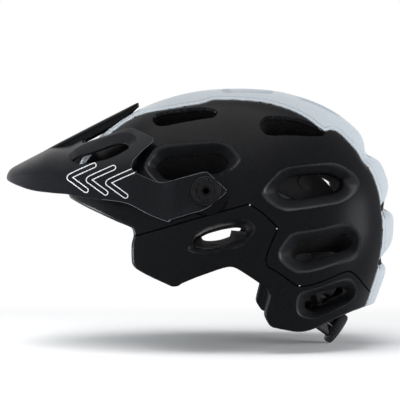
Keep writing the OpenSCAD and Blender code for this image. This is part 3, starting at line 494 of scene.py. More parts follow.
rimLoop, seamLoop, crownLoop = openLine(rimLine), openLine(seamLine), openLine(crownLine)
ventReach = {"throat": 16, "mouth": 3, "seat": 12}  # how far out the distances are worked out
sideVents = [
    {"depth": 12, "look": 8, "inner": 60, "mouth": [
        (-66.9, 56.1), (-62.5, 66), (-55.8, 73.1), (-42.1, 75.8), (-25, 76.7), (-10.1, 77.3), (-3, 75.8),
        (3.4, 73.2), (10.6, 63.6), (8.8, 59), (4.8, 55.1), (-6.3, 49.9), (-28, 46.4), (-53.1, 43),
        (-57.5, 44.6), (-61.5, 48.2)],
     "throat": [
        (-56.8, 56), (-54.6, 60), (-51.7, 63.3), (-46.1, 65.7), (-34, 66.9), (-22.1, 68), (-10.2, 68.8),
        (-6, 67.4), (-3, 64.7), (-0.2, 60.7), (-2.3, 55.9), (-7.9, 52.7), (-18.1, 51.2), (-30, 49.3),
        (-44.3, 47.4), (-49, 48), (-52.6, 50.4)]},
    {"depth": 3.5, "look": 34, "bevel": 1.3, "throat": [
        (-59.7, 95.5), (-57.5, 99), (-53, 100.6), (-38.4, 102.8), (-22.1, 104.2), (-12.8, 102.9),
        (-9.3, 100.9), (-11.6, 97.7), (-22.1, 96.1), (-38.3, 93.3), (-50.5, 91), (-56.8, 91.6)]},
    {"depth": 3.5, "look": 34, "bevel": 1.3, "throat": [
        (26.9, 90.1), (29, 94), (32.4, 96.2), (42.6, 96.6), (58.9, 94.2), (70, 89.8), (77.5, 85.4),
        (76.5, 82.8), (66.4, 82.3), (50.1, 82.8), (34, 82.6), (29.5, 85)]},
    {"depth": 12, "look": 0, "mouth": [
        (25.9, 34.5), (27, 38), (29.2, 41.6), (39.6, 51.9), (44, 54.6), (49.3, 56.3), (65.4, 58.4),
        (78, 59.6), (86, 59.4), (92, 57.6), (98.3, 53.8), (103.4, 50), (106.3, 44.6), (105.4, 38),
        (99.1, 31.3), (89, 26.6), (76, 24.4), (64.6, 22.7), (48.7, 20.7), (43.1, 21.1), (37, 23.8), (30, 28.8)],
     "throat": [
        (38.6, 38), (41.9, 43.6), (49.1, 48.3), (57.1, 50), (67, 51), (77.4, 51.4), (83.9, 50.5),
        (92.1, 46.5), (93.6, 43), (91.8, 38.3), (85.1, 34.5), (72.8, 32.1), (56.7, 29.8), (48.8, 29.8),
        (42.5, 32.6)]},
    {"depth": 12, "look": 0, "inner": 30, "mouth": [
        (38.4, -13), (39.2, -9), (42.1, -4.7), (46.6, 1.4), (50.5, 4), (56.4, 5.4), (72.4, 7.6), (84.6, 10.6),
        (94.5, 11.7), (98.6, 9.8), (102, 6.7), (106.4, 0), (106.2, -5.5), (104.4, -12.5), (102.2, -16),
        (98.6, -18.2), (84.4, -22.3), (68.2, -26.8), (56.3, -28), (51.5, -27), (44.6, -22.6), (40, -18)],
     "throat": [
        (50.2, -12), (52.4, -7.1), (57.9, -3.8), (72.3, -1), (84.5, 1.5), (92.7, 2.2), (96.9, 0.2),
        (98.5, -3.4), (96.8, -8.3), (88.5, -11.9), (72.2, -16.8), (61.8, -19.5), (56.3, -18.3), (52.4, -16)]},
    {"depth": 11, "look": 0, "mouth": [
        (52.7, -54), (53.1, -48.6), (54.6, -44.6), (57.9, -42.1), (72.3, -38.4), (84, -34.4), (92.8, -32),
        (97, -32), (99.8, -34), (104.3, -41.4), (104.5, -45.6), (101.6, -49.6), (95.9, -53.2), (80.8, -59.8),
        (70, -63.7), (64.6, -64.2), (58, -62.4), (54, -59)],
     "throat": [
        (60.9, -54), (62.7, -48.8), (68.3, -45.5), (80.5, -41.8), (90.4, -39.8), (95.5, -41.4), (97.4, -44.9),
        (94.9, -49), (84.8, -53.6), (74.1, -58), (67.6, -59.4), (62.8, -57.7)]},
    {"depth": 10, "look": 0, "inner": 9, "mouth": [
        (-32.4, -9), (-30, -4.2), (-27, 1), (-22.1, 5.6), (-15, 9), (-6.4, 12.1), (2, 14.2), (9.3, 15),
        (14, 14.6), (18, 12.6), (21.8, 8.6), (20.9, 5), (18.6, 1.6), (11.6, -5.7), (5, -8.4), (-2.5, -10),
        (-14.3, -12.8), (-23.7, -12.3), (-29, -11.4)],
     "throat": [
        (-27.2, -4.4), (-26, -0.8), (-23.7, 1.5), (-16.6, 5.4), (-9, 7.8), (-2.5, 9.4), (6.9, 10.7),
        (12.4, 9.6), (15, 7), (15.5, 4.6), (14, 2), (11.6, -0.4), (3, -4.2), (-10.4, -8.4), (-19.8, -9.2),
        (-24.5, -7.8)]}]
for vent in sideVents:  # depth of the bevel; look and inner: degrees downwards of the bevel and in the foam
    vent["throat"] = curveThrough(vent["throat"], 5, closed=True)
    if "mouth" in vent:
        vent["mouth"] = curveThrough(vent["mouth"], 4, closed=True)
crownCorner = 3
crownVents = [(133, 27, 24, 12, 2.5, 8), (87, 24, 36, 11, 4, 9),  # angle, place off the middle, length,
              (67, 22, 32, 11, 4, 9), (48.5, 17, 7, 22, 1.6, 4),  # width, bevel and depth
              (32.8, 17, 7, 24, 1.6, 4), (16.5, 17, 7, 24, 1.6, 4)]
seatOutline = np.array([
    (-34.4, 21.5), (-30, 20.7), (-22, 22.9), (-17.9, 24.5), (-9.2, 31.2), (-3.6, 36.2), (-3.4, 37.4),
    (-15.2, 49), (-17.6, 50.2), (-19.6, 50.3), (-34.4, 46.5)])
pivot = {"x": -17.4, "z": 36.8, "face": 95.3, "armFace": 96.2, "knobFace": 98.8, "sweep": 18.2, "sweepFade": 4,
         "free": 110}


def ventFields(vent, points):  # distances to the mouth and the throat, negative inside
    throat = nearDistance(points, vent["throat"], ventReach["throat"])
    if "bevel" in vent:
        return throat - vent["bevel"], throat
    return nearDistance(points, vent["mouth"], ventReach["mouth"]), throat


def crownFields(vent, points):
    angle, aside, along, across, bevel = vent[:5]
    th = angleAt(points[:, 0], points[:, 2])
    u = np.abs(th - angle) * math.pi / 180 * reachAt(angle) - along / 2 + crownCorner
    v = np.abs(np.abs(points[:, 1]) - aside) - across / 2 + crownCorner
    throat = np.hypot(np.maximum(u, 0), np.maximum(v, 0)) + np.minimum(np.maximum(u, v), 0) - crownCorner
    throat = np.where(points[:, 2] < -20, 50, throat)
    return throat - bevel, throat


def domeNet(step):
    th = np.arange(*dome["netAngles"], math.degrees(step / 180))
    fine = np.linspace(-dome["netSides"], dome["netSides"], 4001)
    length = runAlong(domePoint(90.0, fine))
    count = int(length[-1] / step / 2) * 2 + 1
    ta = np.interp(np.linspace(0, length[-1], count), length, fine)
    grid = np.stack(np.meshgrid(th, ta, indexing="ij"), axis=-1).reshape(-1, 2)
    return grid, mirroredFaces(len(th), count)


shellStyle = {"rimRoll": 2.2, "rimDrop": 1.3, "rimSpare": 4, "grooveNear": 2.3, "grooveFar": 3.1,
              "grooveDeep": 0.8, "edgeDrop": 0.7, "edgeWide": 1.2, "seamHalf": 0.7, "seamDeep": 0.9,
              "bevelRound": 0.3, "seatGap": 0.3, "settle": 0.15, "bevelFade": 2, "satinFrom": 0.5, "crease": 34}


def settled(values):
    return np.where(np.abs(values) < shellStyle["settle"], 0, values)


def rimHeight(points):
    return -lineDistance(points, rimLoop)


def seatDistance(points):
    return nearDistance(points, seatOutline, ventReach["seat"]) - shellStyle["seatGap"]


def grooveMiddle():
    return (shellStyle["grooveNear"] + shellStyle["grooveFar"]) / 2


def shellNet():  # the dome's net above the rim, split along every line that the shells need
    s = shellStyle
    net, faces = domeNet(dome["netStep"])

    def place():
        return domePoint(net[:, 0], net[:, 1])

    def splitBy(field):
        nonlocal net, faces
        net, faces = splitAlong(net, faces, field(place()))

    faces = faces[rimHeight(place())[faces].mean(axis=1) > -s["rimSpare"]]
    for level in (0.0, s["rimRoll"]):
        splitBy(lambda p: rimHeight(p) - level)
    faces = faces[settled(rimHeight(place()))[faces].sum(axis=1) > 0]
    for level in (0, s["grooveNear"], grooveMiddle(), s["grooveFar"]):
        splitBy(lambda p: lineDistance(p, crownLoop) + level)
    for level in (-s["seamHalf"], 0, s["seamHalf"]):
        splitBy(lambda p: lineDistance(p, seamLoop) + level)
    for fields, vents in ((ventFields, sideVents), (crownFields, crownVents)):
        for vent in vents:
            for k in (0, 1):
                splitBy(lambda p: fields(vent, p)[k])
    splitBy(seatDistance)
    return trimmed(net, faces)


def ventPresses(p):  # for each vent its distances, depth and way inwards
    side, zero = np.sign(p[:, 1]), np.zeros(len(p))
    for vent in sideVents:
        a = math.radians(vent["look"])
        way = np.stack([zero, -side * math.cos(a), zero - math.sin(a)], axis=1)
        yield *ventFields(vent, p), vent["depth"], way
    for vent in crownVents:
        a = math.radians(vent[0])
        way = np.stack([zero - math.cos(a), zero, zero - math.sin(a)], axis=1)
        yield *crownFields(vent, p), vent[5], way


def shellDrop(p, crownSide, seamSide, bevelled):  # how far the rolled rim, the grooves and the seam lie inwards
    s = shellStyle
    drop = s["rimDrop"] * np.clip(1 - rimHeight(p) / s["rimRoll"], 0, 1) ** 2
    groove = np.clip(1 - np.abs(crownSide - grooveMiddle()) / ((s["grooveFar"] - s["grooveNear"]) / 2), 0, 1)
    fade = np.clip(1 - bevelled / s["bevelFade"], 0, 1)
    drop += s["grooveDeep"] * groove * fade
    drop += s["edgeDrop"] * smooth(1 - np.abs(crownSide) / s["edgeWide"]) * (crownSide < 0.1) * fade
    return drop + s["seamDeep"] * np.clip(1 - np.abs(seamSide) / s["seamHalf"], 0, 1) * (crownSide < 0) * fade


def makeShells():
    s = shellStyle
    net, faces = shellNet()
    p = domePoint(net[:, 0], net[:, 1])
    out = unit(np.cross(domePoint(net[:, 0], net[:, 1] + 0.5) - domePoint(net[:, 0], net[:, 1] - 0.5),
                        domePoint(net[:, 0] + 0.4, net[:, 1]) - domePoint(net[:, 0] - 0.4, net[:, 1])))
    crownSide, seamSide = -lineDistance(p, crownLoop), -lineDistance(p, seamLoop)
    opened = settled(seatDistance(p))[faces].sum(axis=1) < 0
    push, bevelled, k = np.zeros_like(p), np.zeros(len(p)), s["bevelRound"]
    for mouth, throat, depth, way in ventPresses(p):
        inside, r = bevelShare(mouth, throat)
        r = np.where(r < k, r * r / (2 * k), r - k / 2) / (1 - k / 2)
        push = push + (depth * r)[:, None] * way
        bevelled = np.maximum(bevelled, inside)
        opened |= settled(throat)[faces].sum(axis=1) < 0
    q = p + push - out * shellDrop(p, crownSide, seamSide, bevelled)[:, None]
    turn = np.hypot(p[:, 0] - pivot["x"], p[:, 2] - pivot["z"])
    room = mix(pivot["face"], pivot["free"], smooth((turn - pivot["sweep"]) / pivot["sweepFade"]))
    q[:, 1] = np.sign(p[:, 1]) * np.minimum(np.abs(q[:, 1]), room)  # room for the visor's arms to turn
    faces = facingOut(q, faces[~opened], out)
    crown = settled(crownSide)[faces].sum(axis=1) > 0
    # faces deep in a vent's bevel take the lighter finish, a painted highlight
    satin = bevelled[faces].mean(axis=1) > s["satinFrom"]
    upper = ~crown & (settled(seamSide)[faces].sum(axis=1) > 0)
    lower = ~crown & ~upper
    isLeft = q[faces][:, :, 1].mean(axis=1) < 0
    for name, node, chosen, material, bevelFinish, slot in (
            ("crownShell", "crown_shell", crown, paleShell, paleShell, "grey_shell"),
            ("upperShellLeft", "upper_shell_left", upper & isLeft, blackShell, paintedBevelHighlight, "black_shell"),
            ("upperShellRight", "upper_shell_right", upper & ~isLeft, blackShell, paintedBevelHighlight, "black_shell"),
            ("lowerShellLeft", "lower_shell_left", lower & isLeft, blackShell, paintedBevelHighlight, "black_shell"),
            ("lowerShellRight", "lower_shell_right", lower & ~isLeft, blackShell, paintedBevelHighlight, "black_shell")):
        shell = addPiece(name, *trimmed(q, faces[chosen]), material, s["crease"], bevelFinish, satin[chosen])
        wall(shell, dome["wall"])
        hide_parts(node)
        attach(shell, "helmet")


# the edge band keys set how wide the visor's rear edges get the painted highlight colour, and from where
visorStyle = {"tip": -186, "rearEnd": 2, "rowStep": 1.15, "noseRows": 30, "noseLong": 14, "columns": 243,
              "halfWidth": 99, "fullness": 2.2, "widening": 2.3, "noseTop": 50, "slope": 0.514, "bulge": 5,
              "wingDrop": 7, "dropStart": 34, "dropRun": 25, "wall": 2.4, "creaseHeight": 49.2,
              "creaseEnd": -104, "creaseFade": (-112, 40), "creaseLean": 0.93, "creaseTuck": 0.07,
              "armFade": (-78, 38), "edgeRound": 0.75, "rollShare": 0.8, "paintedGlintBand": 0.35, "paintedGlintFrom": -100,
              "armGap": 1.2, "flatMore": 24.2, "flatFade": 15, "bevelDeep": 3.2, "holeReach": 12, "stripe": 0.75,
              "stripeSpread": 1.9, "stripeReach": 20, "spineRows": 60, "spineEnd": (-89, 14.5, 0.33),
              "spine": ((-158, 10), (-152, 13.5), (-146, 16), (-140, 17.4), (-118, 18), (-96, 17.5), (-84, 16),
                        (-77, 13.2), (-74.4, 10)),
              "spineSide": [(0, 0), (-7, -0.1), (-3.4, -0.4), (-1.6, -1), (-0.4, -2), (0, -3.4), (-0.5, -3.9),
                            (-0.5, -4.7), (0, -5.2), (0, -9), (-0.4, -9.5), (-1.7, -9.5), (-2.1, -9),
                            (-2.2, -4.4), (-4.2, -3.1), (-9, -2.9), (0, -2.9)]}
visorEdge = curveThrough([
    (-186, 48), (-181, 44.8), (-161, 38.3), (-143, 35.8), (-127, 34.2), (-112, 31), (-94, 29.4), (-79, 26.6),
    (-62, 18), (-47, 12.4), (-30, 8), (10, 0)], 8)
visorRear = [
    (-47.6, 0), (-47.2, 11), (-46.4, 13.6), (-42, 15.2), (-38, 16.4), (-30, 18.9), (-22, 21), (-17.6, 22.8),
    (-14, 25), (-8, 29.9), (-2.4, 34.7), (-1.2, 36.1), (-1.3, 37.8), (-3.6, 40), (-14.6, 50.4), (-16.6, 51.8),
    (-19.4, 51.9), (-40, 46.4), (-49.6, 43.9), (-53.4, 43.6), (-60, 45.6), (-67, 48.7), (-73.6, 51.8),
    (-76, 54), (-76.6, 57), (-75.2, 61.3), (-67.6, 69.7), (-60.2, 76.2), (-59.2, 78), (-60.4, 80.2),
    (-69.7, 85.4), (-76.4, 88.4), (-80.4, 88.8), (-87, 86.5), (-99.4, 82.7), (-112, 78.8), (-117, 77),
    (-119, 77.4), (-120, 80), (-120, 140)]
visorLoop = np.vstack([visorRear, [(-260, 140), (-260, 0)]])
wingHole = {"throat": curveThrough([
    (-126.4, 64.4), (-124, 67.2), (-118, 69.2), (-111.5, 70.8), (-95, 76.4), (-87, 77.8), (-82, 76.8),
    (-80.2, 73.8), (-81.8, 70.3), (-86.7, 66.6), (-94.7, 63.6), (-102.8, 62), (-117.3, 60.4),
    (-123.6, 61.6)], 5, closed=True),
            "mouth": curveThrough([
    (-129, 65.4), (-126.2, 69.4), (-119.8, 74.2), (-110.2, 78), (-99, 81), (-86.4, 84), (-78.4, 83.8),
    (-73.6, 80.6), (-73.4, 76.2), (-79.8, 70.4), (-92.6, 63.6), (-106.2, 60.2), (-116.6, 58.8),
    (-125, 60)], 4, closed=True)}
chevrons = [curveThrough([(x + 20, z + 9.5), (x + 5, z + 2.9), (x, z), (x + 3, z - 2.6), (x + 14, z - 10.5)], 8)
            for x, z in ((-127, 48), (-111, 46), (-95, 43.5))]


def visorTop(x):
    t = x - visorStyle["tip"]
    return visorStyle["noseTop"] + visorStyle["slope"] * t + visorStyle["bulge"] * (1 - np.exp(-t / 2))


def visorPoint(x, ta):
    v = visorStyle
    q = 2 / v["fullness"]
    s, c = np.abs(np.sin(np.radians(ta))) ** q, np.cos(np.radians(ta)) ** q
    t = x - v["tip"]
    low = np.interp(x, visorEdge[:, 0], visorEdge[:, 1])
    top = visorTop(x) - v["wingDrop"] * smooth((t - v["dropStart"]) / v["dropRun"])
    z = low + (top - low) * c
    half = v["halfWidth"] * np.sqrt(1 - (1 - np.clip(-t / v["tip"], 0, 1)) ** v["widening"])
    bill = half * s
    crease = v["creaseHeight"]
    above = np.clip((z - crease) / np.maximum(top - crease, 0.5), 0, 1)
    below = np.clip((z - low) / np.clip(crease - low, 0.5, None), 0, 1)
    creased = half * np.where(z > crease, v["creaseLean"] * (1 - above ** 1.7) ** (1 / 1.9),
                              1 - v["creaseTuck"] * below ** 0.8)
    bill = mix(bill, creased, smooth((v["creaseFade"][0] - x) / v["creaseFade"][1]) * smooth(t / v["noseLong"]))
    flat = np.hypot(x - pivot["x"], z - pivot["z"]) - v["flatMore"]
    cover = domeSide(x, z) + v["armGap"]
    face = np.maximum(cover, mix(pivot["armFace"], cover, smooth(flat / v["flatFade"])))
    y = mix(bill, np.maximum(face + v["wall"], 1), smooth((x - v["armFade"][0]) / v["armFade"][1]))
    return np.stack([x, np.sign(ta) * y, z], axis=-1)


def visorOutline(points):
    return lineDistance(points, visorLoop)


def visorHole(key):
    return lambda points: nearDistance(points, wingHole[key], visorStyle["holeReach"])


def visorCrease(points):
    return np.where(points[:, 0] < visorStyle["creaseEnd"], points[:, 2] - visorStyle["creaseHeight"], 9)


def edgeDistance(points):
    return np.minimum(*(np.abs(lineDistance(points, line, closed=False)) for line in (visorRear, visorEdge)))


def stripeDistance(points):
    near = [nearDistance(points, line, visorStyle["stripeReach"], closed=False) for line in chevrons]
    return np.minimum.reduce(near) - visorStyle["stripeSpread"]


def visorNet():  # the visor's net within its outline, split along the hole, the edges and the stripes
    v = visorStyle
    nose = v["noseLong"] * (np.arange(v["noseRows"]) / v["noseRows"]) ** 2 + 0.01
    t = np.concatenate([nose, np.arange(v["noseLong"], v["rearEnd"] - v["tip"], v["rowStep"])])
    ta = np.linspace(-90, 90, v["columns"])
    net = np.stack(np.meshgrid(t + v["tip"], ta, indexing="ij"), axis=-1).reshape(-1, 2)
    faces = mirroredFaces(len(t), len(ta))

    def splitBy(field, snap):
        nonlocal net, faces
        net, faces = splitAlong(net, faces, field(visorPoint(*net.T)), snap)

    def keepInside(field):
        nonlocal faces
        values = field(visorPoint(*net.T))
        faces = faces[np.where(np.abs(values) < 0.12, 0, values)[faces].sum(axis=1) < 0]

    faces = faces[visorOutline(visorPoint(*net.T))[faces].min(axis=1) < 1]
    net, faces = trimmed(net, faces)
    for field in (visorOutline, visorHole("mouth"), visorHole("throat"), visorCrease):
        splitBy(field, 0.08)
    keepInside(visorOutline)
    keepInside(lambda p: -visorHole("throat")(p))
    net, faces = trimmed(net, faces)
    for level in (v["paintedGlintBand"], v["edgeRound"]):
        splitBy(lambda p: edgeDistance(p) - level, 0.05)
    splitBy(stripeDistance, 0.04)
    splitBy(lambda p: np.abs(stripeDistance(p)) - v["stripe"] / 2, 0.04)
    return trimmed(net, faces)


def visorWings():
    v = visorStyle
    net, faces = visorNet()
    x, ta = net.T
    p, e = visorPoint(x, ta), 0.25
    out = unit(np.cross(visorPoint(x, np.minimum(ta + e, 90)) - visorPoint(x, np.maximum(ta - e, -90)),
                        visorPoint(x + e, ta) - visorPoint(np.maximum(x - e, v["tip"]), ta)))
    out = np.where((out[:, 1] * p[:, 1] + out[:, 2] * (p[:, 2] - 20) < 0)[:, None], -out, out)
    share = bevelShare(visorHole("mouth")(p), visorHole("throat")(p))[1]
    edge = np.clip(v["edgeRound"] - edgeDistance(p), 0, v["edgeRound"])
    roll = v["edgeRound"] - np.sqrt(np.maximum(v["edgeRound"] ** 2 - edge ** 2, 0))
    q = p - out * (v["bevelDeep"] * share + v["rollShare"] * roll)[:, None]
    faces = facingOut(q, faces, out)
    middle = p[faces].mean(axis=1)
    stripe = np.abs(stripeDistance(middle)) < v["stripe"] / 2
    # faces along the rear edges take the pale grey of the painted highlight
    paintedGlintBand = (edgeDistance(middle) < v["paintedGlintBand"]) & (middle[:, 0] > v["paintedGlintFrom"])
    wings = addPiece("visorWings", q, faces, visorPlastic, 24, whiteStripe, np.where(paintedGlintBand, 2, stripe))
    wings.data.materials.append(paintedEdgeGlint)
    wall(wings, v["wall"]).modifiers["wall"].material_offset = 0
    return wings


def visorSpine():
    v = visorStyle
    xs = np.linspace(v["spine"][0][0], v["spine"][-1][0], v["spineRows"])
    halves = np.interp(xs, *curveThrough(v["spine"], 6).T)
    endAt, endLong, endTall = v["spineEnd"]
    (top, *sides, bottom), rings = v["spineSide"], []
    for x, half, z in zip(xs, halves, visorTop(xs)):
        tall = mix(1, endTall, smooth((x - endAt) / endLong))
        section = [(x, max(half + a, 0.4), z + b * tall) for a, b in sides]
        rings.append([(x, 0, z + top[1] * tall), *section, (x, 0, z + bottom[1] * tall),
                      *((x, -y, h) for x, y, h in section[::-1])])
    spine = loft("visorSpine", rings)
    dress(spine, 28, visorPlastic)
    return spine


def makeVisor():
    for piece in (visorWings(), visorSpine()):
        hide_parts("visor")
        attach(piece, "visor")


def twiceArea(loop):
    return (loop[:, 0] * np.roll(loop[:, 1], -1) - loop[:, 1] * np.roll(loop[:, 0], -1)).sum()


def grown(loop, by):  # a closed outline pushed outwards
    along = unit(np.roll(loop, -1, axis=0) - np.roll(loop, 1, axis=0))
    way = np.stack([along[:, 1], -along[:, 0]], 1)
    return loop + way * by * (1 if twiceArea(loop) > 0 else -1)


def evened(loop, count):  # as many points at even spacing, from the foremost one on, turning one way
    if twiceArea(loop) < 0:
        loop = loop[::-1]
    loop = np.roll(loop, -int(np.argmin(loop[:, 0])), axis=0)
    loop = np.vstack([loop, loop[:1]])
    run = runAlong(loop)
    s = np.linspace(0, run[-1], count, endpoint=False)
    return np.stack([np.interp(s, run, loop[:, 0]), np.interp(s, run, loop[:, 1])], 1)


linerStyle = {"under": 1.8, "rimUp": 0.3, "rings": 4.5, "cavityRings": 3.75, "angles": (-45, 225.1),
              "sides": 72, "points": 56, "mouthMore": 1.8, "throatMore": 1.9, "neck": 1, "above": 9,
              "lip": 0.5, "step": 0.1, "narrow": 1.5, "deep": 52, "crownDeep": 46, "pocket": 17.45,
              "pocketFloor": 84.05, "boss": 9.25, "bossFloor": 76.05, "bayEnds": (-8, 12),
              "bay": ((-11.4, -44), (16.8, -44), (16.8, 44), (-11.4, 44))}
fitFrame = {"base": np.array([80.647, 0, -70.017]), "lean": math.radians(125.2)}


def atDial(points):
    a = fitFrame["lean"]
    axes = np.array([[math.cos(a), 0, -math.sin(a)], [0, 1, 0], [math.sin(a), 0, math.cos(a)]])
    return fitFrame["base"] + np.asarray(points, float) @ axes


def ventRings(vent, side):
    s = linerStyle
    throat = evened(vent["throat"], s["points"])
    mouth = evened(vent["mouth"], s["points"]) if "mouth" in vent else grown(throat, vent["bevel"])
    look = math.radians(vent["look"])
    inner = math.radians(vent.get("inner", vent["look"]))
    neckEnd = vent["depth"] + s["neck"]
    bevelEnd = neckEnd + s["step"]
    lip, neck = grown(mouth, s["mouthMore"]), grown(throat, s["throatMore"])
    for loop, deep in ((lip, -s["above"]), (lip, s["lip"]), (neck, neckEnd), (throat, bevelEnd),
                       (grown(throat, -s["narrow"]), s["deep"])):
        late = max(deep - bevelEnd, 0)  # the part of the way that bends downwards
        aside = domeSide(loop[:, 0], loop[:, 1]) - (deep - late) * math.cos(look) - late * math.cos(inner)
        drop = (deep - late) * math.sin(look) + late * math.sin(inner)
        yield np.stack([loop[:, 0], side * aside, loop[:, 1] - drop], 1)


def crownVentRings(vent, side):
    s = linerStyle
    angle, aside, along, across, bevel, depth = vent
    corner, a = np.radians(np.arange(0, 360, 15)), math.radians(angle)
    for more, deep in ((bevel + s["mouthMore"], -s["above"]), (bevel + s["mouthMore"], s["lip"]),
                       (s["throatMore"], depth + s["neck"]), (0, depth + s["neck"] + s["step"]),
                       (-1, s["crownDeep"])):
        r = crownCorner + more
        u = np.sign(np.cos(corner)) * (along / 2 - crownCorner) + r * np.cos(corner)
        w = np.sign(np.round(np.sin(corner), 6)) * (across / 2 - crownCorner) + r * np.sin(corner)
        y = side * aside + w
        th = angle + u / reachAt(angle) * 180 / math.pi
        ta = np.degrees(np.arcsin((np.abs(y) / dome["halfWidth"]) ** (fullness(th) / 2))) * np.sign(y)
        yield domePoint(th, ta) - deep * np.array([math.cos(a), 0, math.sin(a)])


def makeLiner():
    s = linerStyle
    ta = np.linspace(-dome["netSides"], dome["netSides"], s["sides"] + 1)
    liner = loft("foamLiner", [domePoint(th, ta, s["under"]) for th in np.arange(*s["angles"], s["rings"])])
    outline = rimLoop + np.where(rimLoop[:, 1:] < 200, (0, s["rimUp"]), (0, 0))
    carve(liner, prism("prism", outline, (-150, 150)), "INTERSECT")
    carve(liner, loft("cavity", [cavityPoint(th, ta) for th in np.arange(*s["angles"], s["cavityRings"])]))
    for ringsOf, vents in ((ventRings, sideVents), (crownVentRings, crownVents)):
        for vent in vents:
            for side in (-1, 1):
                carve(liner, loft("ventCutter", ringsOf(vent, side)))
    a = turns(48)
    for side in (-1, 1):
        for radius, floor in ((s["pocket"], s["pocketFloor"]), (s["boss"], s["bossFloor"])):
            disc = np.stack([pivot["x"] + radius * np.cos(a), pivot["z"] + radius * np.sin(a)], 1)
            carve(liner, prism("pocket", disc, (side * floor, side * 120)))
    carve(liner, loft("bay", [atDial([(x, y, z) for x, y in s["bay"]]) for z in s["bayEnds"]]))
    dress(liner, 32, darkFoam)
    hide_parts("foam_liner")
    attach(liner, "helmet")


def latheRings(profile, place, count):  # rings of a turned profile of radius and height
    a = turns(count)
    return [place(np.stack([r * np.cos(a), r * np.sin(a), np.full(count, h)], 1)) for r, h in profile]


def oval(x, z, wide, tall, count=20):
    r = min(wide, tall) / 2
    return [(x + (wide / 2 - r) * np.sign(round(math.cos(b), 6)) + r * math.cos(b),
             z + (tall / 2 - r) * np.sign(round(math.sin(b), 6)) + r * math.sin(b)) for b in turns(count)]


knobStyle = {"profile": [
    (0.5, 0.02), (11.3, 0.02), (11.7, 0.4), (11.7, 3.5), (11.45, 4.1), (10.9, 4.5), (10.5, 4.6),
    (10.25, 4.35), (9.95, 4.3), (9.7, 4.6), (9.5, 5.0), (9, 5.2), (7, 5.45), (4.4, 5.55), (3.9, 5.4),
    (3.6, 5.0), (3.3, 3.2), (2.9, 3.0), (0.5, 3.0)],
             "slots": [
    (-1.7, 8.0, 1.1, 3.4), (1.7, 8.0, 1.1, 3.4), (-1.7, -8.0, 1.1, 3.4), (1.7, -8.0, 1.1, 3.4),
    (6.6, 0, 1.0, 4.2), (-7.4, 0, 2.4, 5.0), (-5.6, 5.4, 1.9, 1.9), (-5.6, -5.4, 1.9, 1.9),
    (5.9, 5.6, 1.2, 1.2), (5.9, -5.6, 1.2, 1.2)],
             "slotEnds": (3.4, 7), "edge": 0.24}


def atKnob(side):  # from a knob's own frame to its side of the helmet
    return lambda points: np.stack([pivot["x"] + points[:, 0], side * (pivot["knobFace"] + points[:, 2]),
                                    pivot["z"] + points[:, 1]], 1)


def makeKnobs():
    k = knobStyle
    for side, name, body in ((-1, "visorKnobLeft", "knob_left"), (1, "visorKnobRight", "knob_right")):
        place = atKnob(side)
        knob = loft(name, latheRings(k["profile"], place, 72))
        for slot in k["slots"]:
            rings = [place(np.array([(x, z, h) for x, z in oval(*slot)])) for h in k["slotEnds"]]
            carve(knob, loft("slot", rings))
        dress(knob, 30, blackNylon, paintedEdgeGlint)
        # the bevel faces of the knob's edges get the pale grey of the painted highlight
        soften = knob.modifiers.new("soften", "BEVEL")
        soften.width, soften.segments, soften.material = k["edge"] * mm, 1, 1
        soften.angle_limit = math.radians(38)
        baked(knob).data.set_sharp_from_angle(angle=math.radians(30))
        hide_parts(body)
        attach(knob, body)


softEdges = {"buckle_socket": (0.9, "helmet"), "buckle_plug": (0.9, "helmet"), "divider_left": (0.5, "helmet"),
             "divider_right": (0.5, "helmet"), "dial_housing": (0.7, "cradle"), "dial_cover": (0.45, "cradle"),
             "temple_pins": (0.3, "helmet"), "strap_anchors": (0.3, "helmet")}


def copyOf(node, name):  # a welded copy of a carried part, in flat faces
    source = bpy.data.objects[node].data
    copy = addPiece(name, meshPoints(source), [p.vertices[:] for p in source.polygons])
    copy.modifiers.new("weld", "WELD").merge_threshold = 0.000001
    return baked(copy)


def makeSoftEdges():  # moulded parts with their edges rounded
    for node, (width, body) in softEdges.items():
        words = node.split("_")
        part = copyOf(node, words[0] + "".join(w.capitalize() for w in words[1:]) + "Moulding")
        flat = part.modifiers.new("flat", "DECIMATE")
        flat.decimate_type, flat.angle_limit = "DISSOLVE", math.radians(1)
        bevel = part.modifiers.new("bevel", "BEVEL")
        bevel.width, bevel.segments, bevel.limit_method = width * mm, 2, "ANGLE"
        bevel.angle_limit = math.radians(35)
        baked(part).data.polygons.foreach_set("use_smooth", np.ones(len(part.data.polygons), bool))
        dress(part, 30, blackNylon)
        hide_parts(node)
        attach(part, body)


def makeSeats():  # the seats' visible plinth follows the arm above it
    seats = copyOf("pivot_seats", "pivotSeats")
    carve(seats, prism("plinth", seatOutline, (-150, 150)), "INTERSECT")
    dress(seats, 30, blackNylon)
    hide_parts("pivot_seats")
    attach(seats, "helmet")


beltNotch = {"outline": [(-23, 14), (-21, -1.5), (-18.5, -6.2), (-9, -6.6), (1.5, -4.2), (5, -1), (7, 14)],
             "ends": (50, 90)}


def makeBelts():  # the fit belts, narrowed where the low front vent looks through
    for side, name, node in ((-1, "fitBeltLeft", "belt_left"), (1, "fitBeltRight", "belt_right")):
        belt = copyOf(node, name)
        ends = [side * y for y in beltNotch["ends"]]
        carve(belt, prism("notch", curveThrough(beltNotch["outline"], 6), ends))
        dress(belt, 30, beltNylon)
        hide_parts(node)
        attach(belt, node)


